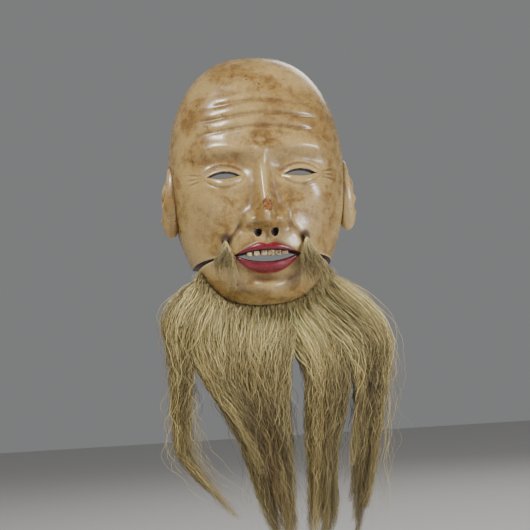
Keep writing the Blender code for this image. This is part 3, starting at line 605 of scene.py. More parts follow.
def round_rim(obj):
    """Rounds the rim's outer and inner edges: rings of vertices are added near the back and drawn in."""
    mesh = bmesh.new()
    mesh.from_mesh(obj.data)
    for share in RIM_RINGS:
        geometry = list(mesh.verts) + list(mesh.edges) + list(mesh.faces)
        place = (0, -share * RIM_ROUND, 0)
        bmesh.ops.bisect_plane(mesh, geom=geometry, plane_co=place, plane_no=(0, 1, 0))
    mesh.to_mesh(obj.data)
    mesh.free()
    points = points_of(obj)
    x, y, z = points.T
    height = z + STRAP_ABOVE_EYES
    near = np.clip((y + RIM_ROUND) / RIM_ROUND, 0, 1)
    draw_in = RIM_ROUND * (1 - np.sqrt(1 - near**2))
    across = np.stack([x / HALF_WIDTH**2, height / HALF_HEIGHT**2], axis=1)
    across /= np.maximum(np.linalg.norm(across, axis=1, keepdims=True), 1e-9)
    middle = rim_half_width(np.clip(height, -HALF_HEIGHT, HALF_HEIGHT), RIM_WALL / 2)
    outer = (np.abs(x) > middle) | (np.abs(height) > HALF_HEIGHT - RIM_WALL / 2)
    points[:, [0, 2]] -= across * (draw_in * np.where(outer, 1, -1))[:, None]
    set_points(obj, points)


# Hand-made unevenness of the surface: many faint waves, each this high.
WAVE_COUNT, WAVE_HEIGHT = 16, 0.000035
WAVE_SHORTEST, WAVE_LONGEST = 0.007, 0.024


def uneven(x, z):
    draw = np.random.default_rng(3)
    total = np.zeros(np.shape(x))
    for _ in range(WAVE_COUNT):
        heading, phase = draw.uniform(0, 2 * math.pi, 2)
        length = draw.uniform(WAVE_SHORTEST, WAVE_LONGEST)
        run = (x * math.cos(heading) + z * math.sin(heading)) * 2 * math.pi / length
        total += WAVE_HEIGHT * np.sin(run + phase)
    return total


def worn_skin_y(x, z):
    """The front surface with its worn cut edges and hand-made unevenness."""
    y = skin_y(x, z)
    return y + uneven(x, z) * ease(0.0, WEAR_FADE, -y)


def face_shell(name, steps):
    """The carved block after its Booleans, with a rounded rim."""
    shell = add_object(name, grid_block(FACE_COLUMNS, FACE_ROWS, 0.0, 0.0, worn_skin_y, 0.0))
    boolean_chain(shell, steps)
    round_rim(shell)
    smooth(shell)
    return shell


def upper_mask():
    cuts = [hollow(), below_cut(CUT_GAP / 2, CUT_SLOPE), mouth_hole()]
    for side, word in SIDES:
        cuts.append(prism(lens(side * EYE_X, EYE_Z, EYE_HALF, EYE_UP, EYE_DOWN), -CUTTER_REACH, 0))
        cuts += [nostril(side), cord_hole(side, 1), strap_hole(side), root_hole(f"moustache_root_{word}")]
    steps = [("UNION", ear(side)) for side, _ in SIDES]
    return face_shell("upper_mask", steps + [("DIFFERENCE", cut) for cut in cuts])


def lower_jaw():
    steps = [("INTERSECT", below_cut(-CUT_GAP / 2, JAW_SLOPE))]
    holes = [hollow(), mouth_hole(), cord_hole(-1, -1), cord_hole(1, -1)]
    holes += [root_hole(name) for name in root_names(range(1, ROOT_COUNT + 1))]
    return face_shell("lower_jaw", steps + [("DIFFERENCE", hole) for hole in holes])


# Bends, in 1/m: the most that counts, and those of a full fine groove, a full broad one and a full ridge.
MOST_BEND, FINE_GROOVE, BROAD_GROOVE, FULL_RIDGE = 900, 330, 160, 420


def bend_of(obj, rounds):
    """How strongly the surface bends at each vertex, in 1/m: above 0 on ridges, below 0 in grooves."""
    points = points_of(obj)
    normals = np.zeros(len(points) * 3, np.float32)
    obj.data.vertices.foreach_get("normal", normals)
    normals = normals.reshape(-1, 3)
    ends = np.zeros(len(obj.data.edges) * 2, np.int32)
    obj.data.edges.foreach_get("vertices", ends)
    a, b = ends.reshape(-1, 2).T
    step = points[b] - points[a]
    turn = ((normals[b] - normals[a]) * step).sum(axis=1) / np.maximum((step**2).sum(axis=1), 1e-9)
    count = np.bincount(a, minlength=len(points)) + np.bincount(b, minlength=len(points))
    count = np.maximum(count, 1)

    def spread(from_a, from_b):
        total = np.bincount(b, weights=from_a, minlength=len(points))
        return (total + np.bincount(a, weights=from_b, minlength=len(points))) / count

    bend = np.clip(spread(turn, turn), -MOST_BEND, MOST_BEND)
    for _ in range(rounds):
        bend = 0.5 * bend + 0.5 * spread(bend[a], bend[b])
    return bend


# Painted shade, nearly black, round the hair roots under the jaw: how far it reaches from a root's end.
ROOT_SHADE_REACH = 0.0075


def root_soil(points):
    """Where shade is painted: 1 at the ends of the hair roots, fading to 0 a few millimetres away."""
    tips = np.array([root_line(name)[1] for name in NODES if "root" in name])
    gap = np.linalg.norm(points[:, None] - tips[None], axis=2).min(axis=1)
    return ease(ROOT_SHADE_REACH, ROOT_SHADE_REACH * 0.5, gap)


def store_paint(obj):
    """What the paint needs to know at each vertex: lips, ink lines, grooves, ridges, stains, and where shade
    is painted round the hair roots.
    """
    x, y, z = points_of(obj).T
    height = z + STRAP_ABOVE_EYES
    cx, cz = to_canon(x, height)
    above, below = lip_borders(cx)
    span = ease(MOUTH_HALF + 3.2, MOUTH_HALF + 1.4, np.abs(cx))
    store(obj, "lip", ease(-0.7, 0.7, above - cz) * ease(-0.7, 0.7, cz - below) * span)
    near_eye = np.exp(-((np.maximum(eye_gap(cx, cz), 0) / 0.75) ** 2))
    near_mouth = np.exp(-((np.maximum(mouth_gap(cx, cz), 0) / 1.3) ** 2))
    store(obj, "ink", np.maximum(near_eye * 0.8, near_mouth))
    fine, broad = bend_of(obj, 3), bend_of(obj, 14)
    groove = np.clip(-fine / FINE_GROOVE, 0, 1) + np.clip(-broad / BROAD_GROOVE, 0, 1)
    store(obj, "groove", np.clip(groove * 0.7, 0, 1))
    store(obj, "ridge", np.clip(fine / FULL_RIDGE, 0, 1))
    stain = 1.0 * bump(cx, cz, 0, 22, 13, 9) + 0.2 * bump(cx, cz, 3, -88, 9, 7)
    stain += 0.7 * pair(cx, cz, 25, -24, 9, 9) + 0.5 * pair(cx, cz, 22, 38, 12, 9)
    store(obj, "stain", np.clip(stain, 0, 1))
    store(obj, "chip", 0.75 * bump(cx, cz, 1.5, -27.0, 5.5, 8.0))
    store(obj, "soil", root_soil(points_of(obj)))


# A face this far off the carved skin isn't part of it.
OFF_SKIN = 0.0005

# The order of a shell's materials.
OUTSIDE, INSIDE, EDGE = range(3)


def choose_materials(obj, outside, inside, edge):
    """Lacquer outside, dark lacquer in the hollow, the cut and the openings, bare wood on the rim. On the
    cut's faces the dark lacquer is also painted shade, so the slit between mask and jaw reads dark.
    """
    obj.data.materials.clear()
    for made in (outside, inside, edge):
        obj.data.materials.append(made)
    faces = obj.data.polygons
    centre = np.zeros(len(faces) * 3, np.float32)
    faces.foreach_get("center", centre)
    x, y, z = centre.reshape(-1, 3).T
    height = z + STRAP_ABOVE_EYES
    off_skin = np.abs(y - worn_skin_y(x, height))
    within = np.abs(x) < rim_half_width(height, RIM_WALL / 2)
    kind = np.full(len(faces), OUTSIDE, np.int32)
    kind[y > -RIM_ROUND * 0.9] = EDGE
    # On the saw cut this dark lacquer is partly painted shade of the slit.
    kind[(off_skin > OFF_SKIN) & within & (y < 0)] = INSIDE
    faces.foreach_set("material_index", kind)


# Upper teeth: a curved row behind the upper lip.
TOOTH_COUNT = 6
TEETH_HALF_WIDTH, TEETH_DROP, TEETH_INTO_LIP, TEETH_THICK = 0.0165, 0.0042, 0.003, 0.0045
TEETH_BEHIND_LIP, TEETH_CURVE = 0.0035, 0.0035
TOOTH_SQUARENESS, TOOTH_FILL, TOOTH_TAPER, TOOTH_UNEVEN = 0.42, 0.965, 0.10, 0.0007
TOOTH_SEGMENTS, TOOTH_RINGS = 28, 20


def add_tooth(mesh, size, turn, middle):
    """Adds a block with rounded edges to a bmesh. Its lower corners are rounded off most."""
    made = bmesh.ops.create_uvsphere(mesh, u_segments=TOOTH_SEGMENTS, v_segments=TOOTH_RINGS, radius=1.0)
    for vert in made["verts"]:
        squared = [math.copysign(abs(v) ** TOOTH_SQUARENESS, v) for v in vert.co]
        round_off = 1 - TOOTH_TAPER * squared[0] ** 2 * max(0.0, -squared[2])
        shape = Vector((squared[0] * size.x, squared[1] * size.y, squared[2] * size.z * round_off))
        vert.co = turn @ shape + middle


def upper_teeth():
    """Separate rounded teeth, each a little different, in one row."""
    draw = np.random.default_rng(11)
    lip_edge = to_world(0, MOUTH_Z + MOUTH_UP)[1]
    lip = skin_at(0, lip_edge + TEETH_INTO_LIP)
    half_height = (TEETH_INTO_LIP + TEETH_DROP) / 2
    half_width = TEETH_HALF_WIDTH / TOOTH_COUNT
    mesh = bmesh.new()
    for k in range(TOOTH_COUNT):
        t = -1 + (2 * k + 1) / TOOTH_COUNT
        x = TEETH_HALF_WIDTH * t
        y = lip + TEETH_BEHIND_LIP + TEETH_CURVE * t * t + TEETH_THICK / 2
        turn = Matrix.Rotation(-math.atan(2 * TEETH_CURVE * t / TEETH_HALF_WIDTH), 3, "Z")
        shorter = draw.uniform(0.0, TOOTH_UNEVEN)
        size = Vector((half_width * TOOTH_FILL, TEETH_THICK / 2, half_height - shorter / 2))
        middle = Vector((x, y, lip_edge + TEETH_INTO_LIP - half_height + shorter / 2))
        add_tooth(mesh, size, turn, middle)
    row = add_object("upper_teeth", mesh)
    smooth(row, 60)
    x = points_of(row)[:, 0] / half_width
    from_middle = np.abs((x + TOOTH_COUNT) % 2 - 1)
    # Where shade is painted between the teeth.
    store(row, "between", ease(0.80, 1.0, from_middle))
    return row


# ---------------------------------------------------------------- cords


PLY_COUNT, PLY_SHARE, PLY_PITCH, PLY_SIDES = 3, 0.52, 0.0046, 10
LOOP_STEPS, LOOP_DENSE = 220, 4001

# The knot is a trefoil: how thick its cord is, how flat it is and how it sits against the hollow.
KNOT_STEPS, KNOT_CORD, KNOT_FLAT, KNOT_REACH, KNOT_SEAT = 90, 0.62, 0.9, 2.2, 0.55


def across_loop(path):
    """Two unit vectors across a closed path, at each of its points."""
    along = np.roll(path, -1, axis=0) - np.roll(path, 1, axis=0)
    along /= np.linalg.norm(along, axis=1, keepdims=True)
    level = np.cross(along, (1.0, 0.0, 0.0))
    level /= np.linalg.norm(level, axis=1, keepdims=True)
    return level, np.cross(along, level)


def tube(mesh, path, radius):
    """Adds a round tube along a closed path to a bmesh."""
    turns = np.linspace(0, 2 * math.pi, PLY_SIDES, endpoint=False)
    rings = []
    for point, a, b in zip(path, *across_loop(path)):
        ring = [point + radius * (math.cos(t) * a + math.sin(t) * b) for t in turns]
        rings.append([mesh.verts.new(place) for place in ring])
    for ring, after in zip(rings, rings[1:] + rings[:1]):
        for j in range(PLY_SIDES):
            k = (j + 1) % PLY_SIDES
            mesh.faces.new((ring[j], ring[k], after[k], after[j]))


def twisted(mesh, path, radius):
    """Adds a cord of twisted plies along a closed path."""
    first, second = across_loop(path)
    steps = np.linalg.norm(np.diff(path, axis=0, append=path[:1]), axis=1)
    run = np.concatenate([[0], np.cumsum(steps)[:-1]])
    angle = 2 * math.pi * max(1, round(steps.sum() / PLY_PITCH)) * run / steps.sum()
    ply = radius * PLY_SHARE
    for k in range(PLY_COUNT):
        turn = angle + 2 * math.pi * k / PLY_COUNT
        off = (radius - ply) * (np.cos(turn)[:, None] * first + np.sin(turn)[:, None] * second)
        tube(mesh, path + off, ply)


def square_round(value):
    """A cosine or sine pushed towards a rectangle with round corners."""
    return np.copysign(np.abs(value) ** CORD_SQUARENESS, value)


def cord_loop(x, y_near, y_far, z):
    """A closed path through the two holes, evenly stepped."""
    angle = np.linspace(0, 2 * math.pi, LOOP_DENSE)
    depth = (y_near + y_far) / 2 + (y_far - y_near) / 2 * square_round(np.cos(angle))
    height = z + CORD_HALF_HEIGHT * square_round(np.sin(angle))
    run = np.concatenate([[0], np.cumsum(np.hypot(np.diff(depth), np.diff(height)))])
    even = np.linspace(0, run[-1], LOOP_STEPS, endpoint=False)
    places = (np.full(LOOP_STEPS, x), np.interp(even, run, depth), np.interp(even, run, height))
    return np.stack(places, axis=1)


def trefoil(size):
    """The path of a trefoil knot, about this big from its middle to its side."""
    t = np.linspace(0, 2 * math.pi, KNOT_STEPS, endpoint=False)
    x = KNOT_FLAT * np.sin(3 * t)
    y, z = np.sin(t) + 2 * np.sin(2 * t), np.cos(t) - 2 * np.cos(2 * t)
    return np.stack([x, y, z], axis=1) * size / KNOT_REACH


def jaw_cord(side, word):
    """A twisted loop through the two holes, with its knot in the hollow."""
    x, _, z = hinge_point()
    low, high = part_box(f"jaw_cord_{word}")
    spread = 2 * CORD_RADIUS
    heights = [z + way * CORD_HALF_HEIGHT + d for way in (-1, 1) for d in (-spread, 0, spread)]
    far = max(hollow_at(x, height) for height in heights) + CORD_CLEARANCE + CORD_RADIUS
    mesh = bmesh.new()
    twisted(mesh, cord_loop(side * x, low.y + CORD_RADIUS, far, z), CORD_RADIUS)
    size = (high.y - far) / KNOT_REACH
    tube(mesh, trefoil(size) + (side * x, far + size * KNOT_SEAT, z), CORD_RADIUS * KNOT_CORD)
    cord = add_object(f"tie_cord_{word}", mesh)
    smooth(cord, 80)
    return cord


# ---------------------------------------------------------------- hair


# Strands are three-sided tubes that taper to their tips.
STRAND_SIDES = 3
STRAND_RADIUS, TIP_RADIUS = 0.00019, 0.00006
KINK = 0.00024
STRANDS, SEGMENTS = 1090, 30

# How strands leave a root: how far up in it they start, how far they spread in it, and how they fan out.
ROOT_OVERLAP, ROOT_SPREAD, ROOT_MIXING = 0.0006, 0.85, 0.17
FAN_LENGTH, FAN_ANGLE = 0.009, 0.85

# How much of a lock's half width its strands fill.
WIDTH_SHARE = 0.86

# Hair colours: near the root, inside a lock, where it stands for painted shade (also used for faint bands
# along the strands), on its outside, and in the palest strands.
HAIR_ROOT = np.array((0.045, 0.026, 0.014))
HAIR_BROWN = np.array((0.140, 0.082, 0.028))
HAIR_OLIVE = np.array((0.270, 0.205, 0.066))
HAIR_PALE = np.array((0.760, 0.640, 0.290))

# Where those colours lie, as shares of a lock's length.
DARK_REACH, PALE_REACH, BROWN_MIDDLE, BROWN_REACH = 0.020, 0.20, 0.60, 0.22

# Kinds of hair: how far strands spread round their clump, how much it pulls them in and drifts, how they
# wave, how far they bulge out over the roots, and how short the shortest clump is.
HABITS = ("spread", "pull", "drift", "wave", "cycles", "bulge", "shortest")
SOFT = dict(zip(HABITS, (0.24, 0.66, 0.16, 0.0021, 4.2, 0.030, 0.50)))
THIN = dict(zip(HABITS, (0.34, 0.50, 0.24, 0.0022, 3.8, 0.040, 0.35)))
WISP = dict(zip(HABITS, (0.40, 0.25, 0.20, 0.0009, 2.2, 0.006, 0.30)))

# Each lock's body and roots, its number of pieces and clumps, its kind of hair, its band of brown painted
# shade among its inmost strands and its seed.
LOCKS = {
    "beard_centre": ("chin_beard", range(3, 11), 5, 26, SOFT, 0.75, 100),
    "beard_centre_right": ("chin_beard", range(10, 13), 3, 13, SOFT, 0.20, 200),
    "beard_right": ("right_beard", range(12, 16), 3, 12, SOFT, 0.10, 300),
    "beard_left": ("left_beard", range(1, 4), 1, 9, THIN, 0.10, 400),
}

MOUSTACHE_SEEDS = {"left": 600, "right": 601}
MOUSTACHE_STRANDS, MOUSTACHE_SEGMENTS, MOUSTACHE_CLUMPS = 300, 24, 9

# Loose hairs: each lock's body and roots, how many stray, how far, to which side, and their seed.
STRAYS = {
    "beard_left": ("left_beard", range(1, 4), 170, 0.010, 0.2, 700),
    "beard_centre": ("chin_beard", range(3, 11), 260, 0.009, 0.0, 701),
    "beard_right": ("right_beard", range(12, 16), 240, 0.012, 0.5, 702),
}
STRAY_SEGMENTS = 56
STRAY_MOST_RIGHT, STRAY_MOST_LEFT = 0.024, 0.014
STRAY_CURL = 0.0011

# Short hairs that flare out along the row of roots and hide their holes.
FLARE_HAIRS, FLARE_SEGMENTS = 210, 9
FLARE_SHORTEST, FLARE_LONGEST = 0.006, 0.024
FLARE_SIDEWAYS, FLARE_DEPTH, FLARE_SPREAD = 1.6, 0.0034, 0.0036
FLARE_TINT_REACH = 0.16
FLARE_SEED = 900

# Added to a lock's seed for its clumps, which its pieces share.
CLUMP_SEED = 50


def lock_rings(node):
    """Height, middle and half sizes of the rings of a lock's CAD solid, from the top down."""
    points = points_of(NODES[node])
    rows = []
    for level in np.unique(points[:, 2].round(5))[::-1]:
        ring = points[np.abs(points[:, 2] - level) < 2e-5]
        middle = (ring.min(axis=0) + ring.max(axis=0)) / 2
        half = (ring.max(axis=0) - ring.min(axis=0)) / 2
        rows.append((level, middle[0], middle[1], half[0], half[1]))
    return np.array(rows).T


def strand_waves(draw, strands, share, height, cycles):
    """Side to side and front to back waves of each strand that grow towards its tip."""
    total = np.zeros((strands, share.shape[1], 2))
    for octave in (1, 2):
        phase = draw.uniform(0, 2 * math.pi, (strands, 1, 2))
        turns = draw.uniform(0.6, 1.4, (strands, 1, 2)) * cycles * octave
        size = height / octave * draw.uniform(0.4, 1.6, (strands, 1, 2))
        total += size * np.sin(turns * 2 * math.pi * share[:, :, None] + phase)
    return total * ease(0.0, 0.35, share)[:, :, None]


def lock_clumps(seed, count, habit):
    """The clumps a lock falls into: where each lies, how long and how light it is, and how it sways."""
    draw = np.random.default_rng(seed + CLUMP_SEED)
    across = np.linspace(-0.88, 0.88, count) + draw.uniform(-0.7, 0.7, count) / count
    return {
        "across": across,
        "deep": draw.uniform(-0.8, 0.8, count),
        "reach": draw.uniform(habit["shortest"], 1.0, count) ** 0.7,
        "tone": draw.uniform(0.50, 1.65, count),
        "sway": draw.uniform(0, 2 * math.pi, (2, count)),
        "beat": draw.uniform(0.7, 1.6, (2, count)) * 2 * math.pi,
    }


def in_clumps(clumps, pick, habit, own, share):
    """Where each strand lies across and deep in its lock, as it is drawn into its clump on the way down."""
    pull = habit["pull"] * ease(0.05, 0.75, share)
    drift = habit["drift"] * ease(0.1, 0.8, share)
    sway = drift * np.sin(clumps["beat"][:, pick, None] * share + clumps["sway"][:, pick, None])
    aims = (clumps["across"][pick], clumps["deep"][pick])
    return [one[:, None] + (aim - one)[:, None] * pull + add for one, aim, add in zip(own, aims, sway)]


def fan_from_roots(draw, body, roots, own_across, share, drop, bulge):
    """Bends the tops of the strands over to the roots, fanning out of them."""
    strands = len(own_across)
    starts, ways = root_tips(draw, roots, own_across)
    gap = starts - body[:, 0]
    away = np.linalg.norm(gap, axis=1)
    join = FAN_LENGTH * draw.uniform(0.7, 1.8, strands) + away * draw.uniform(1.5, 3.6, strands)
    near = np.clip(share * drop / join[:, None], 0, 1)
    body += gap[:, None] * (1 - ease(0.0, 1.0, near))[:, :, None]
    fan = ways + draw.normal(0, FAN_ANGLE, (strands, 3)) * (1.0, 0.6, 0.5)
    body += fan[:, None] * (near * (1 - near) ** 2 * bulge)[:, :, None]


def lock_paths(draw, node, roots, strands, segments, clumps, habit):
    """Paths of a lock's strands: out of the roots, over into the lock's shape, and down in clumps."""
    level, middle_x, middle_y, half_x, half_y = lock_rings(node)
    drop = level[0] - level[-1]
    run = (level[0] - level) / drop
    pick = draw.integers(0, len(clumps["across"]), strands)
    own_across = np.clip(clumps["across"][pick] + draw.normal(0, habit["spread"], strands), -1.1, 1.1)
    own_deep = np.clip(clumps["deep"][pick] + draw.normal(0, 0.5, strands), -1, 1)
    reach = clumps["reach"][pick] * (1 - 0.45 * draw.uniform(0, 1, strands) ** 1.7)
    share = np.linspace(0, 1, segments + 1)[None, :] * reach[:, None]
    across, deep = in_clumps(clumps, pick, habit, (own_across, own_deep), share)
    x = np.interp(share, run, middle_x) + WIDTH_SHARE * across * np.interp(share, run, half_x)
    y = np.interp(share, run, middle_y) + deep * np.interp(share, run, half_y)
    body = np.stack([x, y, np.interp(share, run, level)], axis=-1)
    body[:, :, :2] += strand_waves(draw, strands, share, habit["wave"], habit["cycles"])
    fan_from_roots(draw, body, roots, own_across, share, drop, habit["bulge"])
    body += draw.normal(0, KINK, body.shape) * (1.0, 1.0, 0.3) * ease(0.0, 0.1, share)[:, :, None]
    return body, own_across, own_deep, share, clumps["tone"][pick]


def root_tips(draw, roots, own_across):
    """Each strand's starting place on a root's end, and the way out of it. Roots are shared in order."""
    lines = [root_line(name) for name in roots]
    tips = np.array([outer for _, outer in lines])
    ways = np.array([(outer - inner).normalized() for inner, outer in lines])
    order = np.argsort(tips[:, 0])
    strands = len(own_across)
    place = np.argsort(np.argsort(own_across + draw.normal(0, ROOT_MIXING, strands))) / strands
    pick = order[np.minimum((place * len(roots)).astype(int), len(roots) - 1)]
    angle = draw.uniform(0, 2 * math.pi, strands)
    radius = ROOT_RADIUS * ROOT_SPREAD * np.sqrt(draw.uniform(0, 1, strands))
    starts = tips[pick] - ways[pick] * ROOT_OVERLAP
    starts[:, 1] += radius * np.sin(angle)
    return starts + sideways(ways[pick]) * (radius * np.cos(angle))[:, None], ways[pick]


def sideways(ways):
    """Directions along the row of roots, level with the face, one for each root's way out."""
    return np.stack([-ways[:, 2], np.zeros(len(ways)), ways[:, 0]], axis=1)


def hair_tints(draw, own_across, own_deep, share, tone, browner):
    """Colours along each strand: dark at the root and pale below it. Painted light makes strands on a lock's
    outside and front paler; painted shade makes those inside browner, most in a band lower down. All grow
    darker lower down.
    """
    strands = len(own_across)
    # Painted light: strands on the outside and the front of a lock are paler and less brown.
    outside = np.clip(0.55 * np.abs(own_across) + 0.45 * np.clip(-own_deep, 0, 1), 0, 1)
    pale = draw.normal(0.05 + 0.42 * outside, 0.26, strands)[:, None]
    inner = np.clip(1.3 - np.abs(own_across), 0, 1)[:, None]
    pale = pale + 0.85 * np.exp(-((share / PALE_REACH) ** 2)) * inner
    tint = HAIR_OLIVE + (HAIR_PALE - HAIR_OLIVE) * np.clip(pale, 0, 1)[:, :, None]
    # Painted shade: strands inside the lock are browner, most in a band along the inmost ones.
    brown = np.clip(draw.normal(0.30 - 0.20 * outside, 0.22, strands), 0, 0.9)[:, None]
    band = np.exp(-(((share - BROWN_MIDDLE) / BROWN_REACH) ** 2))
    inmost = np.clip(1.25 - 1.5 * np.abs(own_across), 0, 1)[:, None]
    brown = np.clip(brown * ease(0.0, 0.25, share) + browner * band * inmost, 0, 0.95)
    tint = tint + (HAIR_BROWN - tint) * brown[:, :, None]
    dark = np.exp(-((share / DARK_REACH) ** 2))[:, :, None]
    tint = tint + (HAIR_ROOT - tint) * 0.85 * dark
    lower = 1 - 0.26 * ease(0.12, 0.45, share)[:, :, None]
    return np.clip(tint * lower * (tone * draw.uniform(0.45, 1.40, strands))[:, None, None], 0, 1)


def strand_points(paths, radii):
    """The corners of three-sided rings round each point of each path."""
    along = np.gradient(paths, axis=1)
    along /= np.maximum(np.linalg.norm(along, axis=2, keepdims=True), 1e-12)
    first = np.cross(along, (0.0, 1.0, 0.0))
    first /= np.maximum(np.linalg.norm(first, axis=2, keepdims=True), 1e-12)
    second = np.cross(along, first)
    turn = np.arange(STRAND_SIDES) * 2 * math.pi / STRAND_SIDES
    ring = np.cos(turn)[:, None] * first[:, :, None] + np.sin(turn)[:, None] * second[:, :, None]
    return paths[:, :, None] + radii[:, :, None, None] * ring


def strand_faces(strands, count):
    """Triangles along each strand and over its two ends."""
    index = np.arange(strands * count * STRAND_SIDES).reshape(strands, count, STRAND_SIDES)
    a, b = index[:, :-1], index[:, 1:]
    c, d = np.roll(b, -1, axis=2), np.roll(a, -1, axis=2)
    halves = [np.stack([a, b, c], axis=-1), np.stack([a, c, d], axis=-1)]
    ends = [index[:, 0, ::-1], index[:, -1]]
    return np.concatenate([part.reshape(-1, 3) for part in halves + ends])


def strand_cells(strands, count):
    """A UV place for each corner, with a cell of its own for each strand."""
    cells = math.ceil(math.sqrt(strands))
    number = np.arange(strands)
    u = (number % cells)[:, None, None] + (np.arange(STRAND_SIDES) + 0.5)[None, None] / STRAND_SIDES
    v = (number // cells)[:, None, None] + (0.05 + 0.9 * np.linspace(0, 1, count))[None, :, None]
    return np.stack(np.broadcast_arrays(u, v), axis=-1).reshape(-1, 2) / cells


def strand_mesh(name, paths, radii, tints):
    """One object of tapering tubes along the paths, with a colour for each point."""
    strands, count = paths.shape[:2]
    faces = strand_faces(strands, count)
    mesh = bpy.data.meshes.new(name)
    mesh.from_pydata(strand_points(paths, radii).reshape(-1, 3), [], faces)
    mesh.shade_smooth()
    shown = np.repeat(np.broadcast_to(tints, paths.shape)[:, :, None], STRAND_SIDES, axis=2)
    shown = np.concatenate([shown, np.ones(shown.shape[:3] + (1,))], axis=-1)
    layer = mesh.attributes.new("tint", "FLOAT_COLOR", "POINT")
    layer.data.foreach_set("color", shown.astype(np.float32).ravel())
    place = strand_cells(strands, count)[faces.ravel()]
    mesh.uv_layers.new(name="OFBake").data.foreach_set("uv", place.astype(np.float32).ravel())
    made = bpy.data.objects.new(name, mesh)
    bpy.context.scene.collection.objects.link(made)
    return made


def taper(share, reach_end):
    """Strand radii: full to past the middle, thin at the tip."""
    return TIP_RADIUS + (STRAND_RADIUS - TIP_RADIUS) * ease(1.0, reach_end, share / share[:, -1:])


def blend_from_jaw(made):
    """Bakes a piece of hair's placement into its mesh."""
    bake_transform(made)


def comb_lock(node, material, body, numbers, pieces, count, habit, browner, seed):
    """A lock's hair, in a few pieces that share its clumps."""
    roots = root_names(numbers)
    clumps = lock_clumps(seed, count, habit)
    for part in range(pieces):
        draw = np.random.default_rng(seed + part)
        paths, across, deep, share, tone = lock_paths(draw, node, roots, STRANDS, SEGMENTS, clumps, habit)
        tints = hair_tints(draw, across, deep, share, tone, browner)
        made = strand_mesh(f"{node}_hair_{part + 1}", paths, taper(share, 0.55), tints)
        finish_piece(made, material)
        if part == 0:
            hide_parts(node)
        blend_from_jaw(made)


def comb_moustache(word, material, seed):
    """A short stiff tuft, in one piece."""
    node, roots = f"moustache_{word}", [f"moustache_root_{word}"]
    clumps = lock_clumps(seed, MOUSTACHE_CLUMPS, WISP)
    draw = np.random.default_rng(seed)
    counts = (MOUSTACHE_STRANDS, MOUSTACHE_SEGMENTS)
    paths, across, deep, share, tone = lock_paths(draw, node, roots, *counts, clumps, WISP)
    tints = hair_tints(draw, across, deep, share, tone, 0.0)
    made = strand_mesh(f"{node}_hair", paths, taper(share, 0.5) * 0.85, tints)
    finish_piece(made, material)
    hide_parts(node)
    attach(made, "mask")


def stray_hairs(node, material, body, numbers, count, reach, lean, seed):
    """Single springy hairs that leave the outline of a lock."""
    roots = root_names(numbers)
    clumps = lock_clumps(seed, count, THIN)
    draw = np.random.default_rng(seed)
    paths, _, deep, share, tone = lock_paths(draw, node, roots, count, STRAY_SEGMENTS, clumps, THIN)
    side = np.where(draw.uniform(-1, 1, count) + lean > 0, 1.0, -1.0)
    most = np.where(side > 0, STRAY_MOST_RIGHT, STRAY_MOST_LEFT)
    out = np.minimum(draw.gamma(1.6, reach / 1.6, count), most)
    steps = draw.normal(0, 1, (count, STRAY_SEGMENTS + 1, 2))
    curl = np.cumsum(np.cumsum(steps, axis=1) * 0.22, axis=1)
    curl -= curl[:, :1]
    spread = np.maximum(curl.std(axis=1, keepdims=True), 1e-9)
    curl *= STRAY_CURL / spread * draw.uniform(0.4, 3.2, (count, 1, 1))
    fade = ease(0.0, 0.3, share)
    paths[:, :, 0] += side[:, None] * ease(0.05, 1.0, share) * out[:, None] + curl[:, :, 0] * fade
    paths[:, :, 1] += curl[:, :, 1] * 0.5 * fade
    tints = hair_tints(draw, np.ones(count), deep, share, tone + 0.2, 0.0)
    made = strand_mesh(f"{node}_strays", paths, taper(share, 0.6) * 0.8, tints)
    finish_piece(made, material)
    blend_from_jaw(made)


def flare_hairs(material):
    """Short hairs that leave the roots sideways and then fall."""
    draw = np.random.default_rng(FLARE_SEED)
    strands = FLARE_HAIRS * ROOT_COUNT
    starts, ways = root_tips(draw, root_names(range(1, ROOT_COUNT + 1)), np.linspace(-1, 1, strands))
    aside = sideways(ways)
    lean = draw.uniform(-FLARE_SIDEWAYS, FLARE_SIDEWAYS, strands)[:, None]
    heading = ways + aside * lean + draw.normal(-0.15, 0.35, (strands, 3)) * (0.0, 1.0, 0.0)
    heading /= np.linalg.norm(heading, axis=1, keepdims=True)
    length = draw.uniform(FLARE_SHORTEST, FLARE_LONGEST, strands)[:, None, None]
    share = np.broadcast_to(np.linspace(0, 1, FLARE_SEGMENTS + 1), (strands, FLARE_SEGMENTS + 1))
    out = (share - 0.62 * share**2)[:, :, None] * heading[:, None] * length
    down = (0.66 * share**2)[:, :, None] * np.array((0.0, 0.0, -1.0)) * length
    along_row = draw.uniform(-1, 1, (strands, 1))
    starts = starts + aside * FLARE_SPREAD * along_row
    starts = starts - ways * FLARE_DEPTH * np.maximum(np.abs(along_row), draw.uniform(0.2, 1.0, (strands, 1)))
    paths = starts[:, None] + out + down
    paths += draw.normal(0, KINK * 0.6, paths.shape) * ease(0.0, 0.3, share)[:, :, None]
    across, deep = draw.uniform(-1, 1, (2, strands))
    tints = hair_tints(draw, across, deep, share * FLARE_TINT_REACH, np.ones(strands), 0.0)
    made = strand_mesh("root_flare_hair", paths, taper(share, 0.5) * 0.9, tints)
    finish_piece(made, material)
    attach(made, "jaw")


# ---------------------------------------------------------------- materials


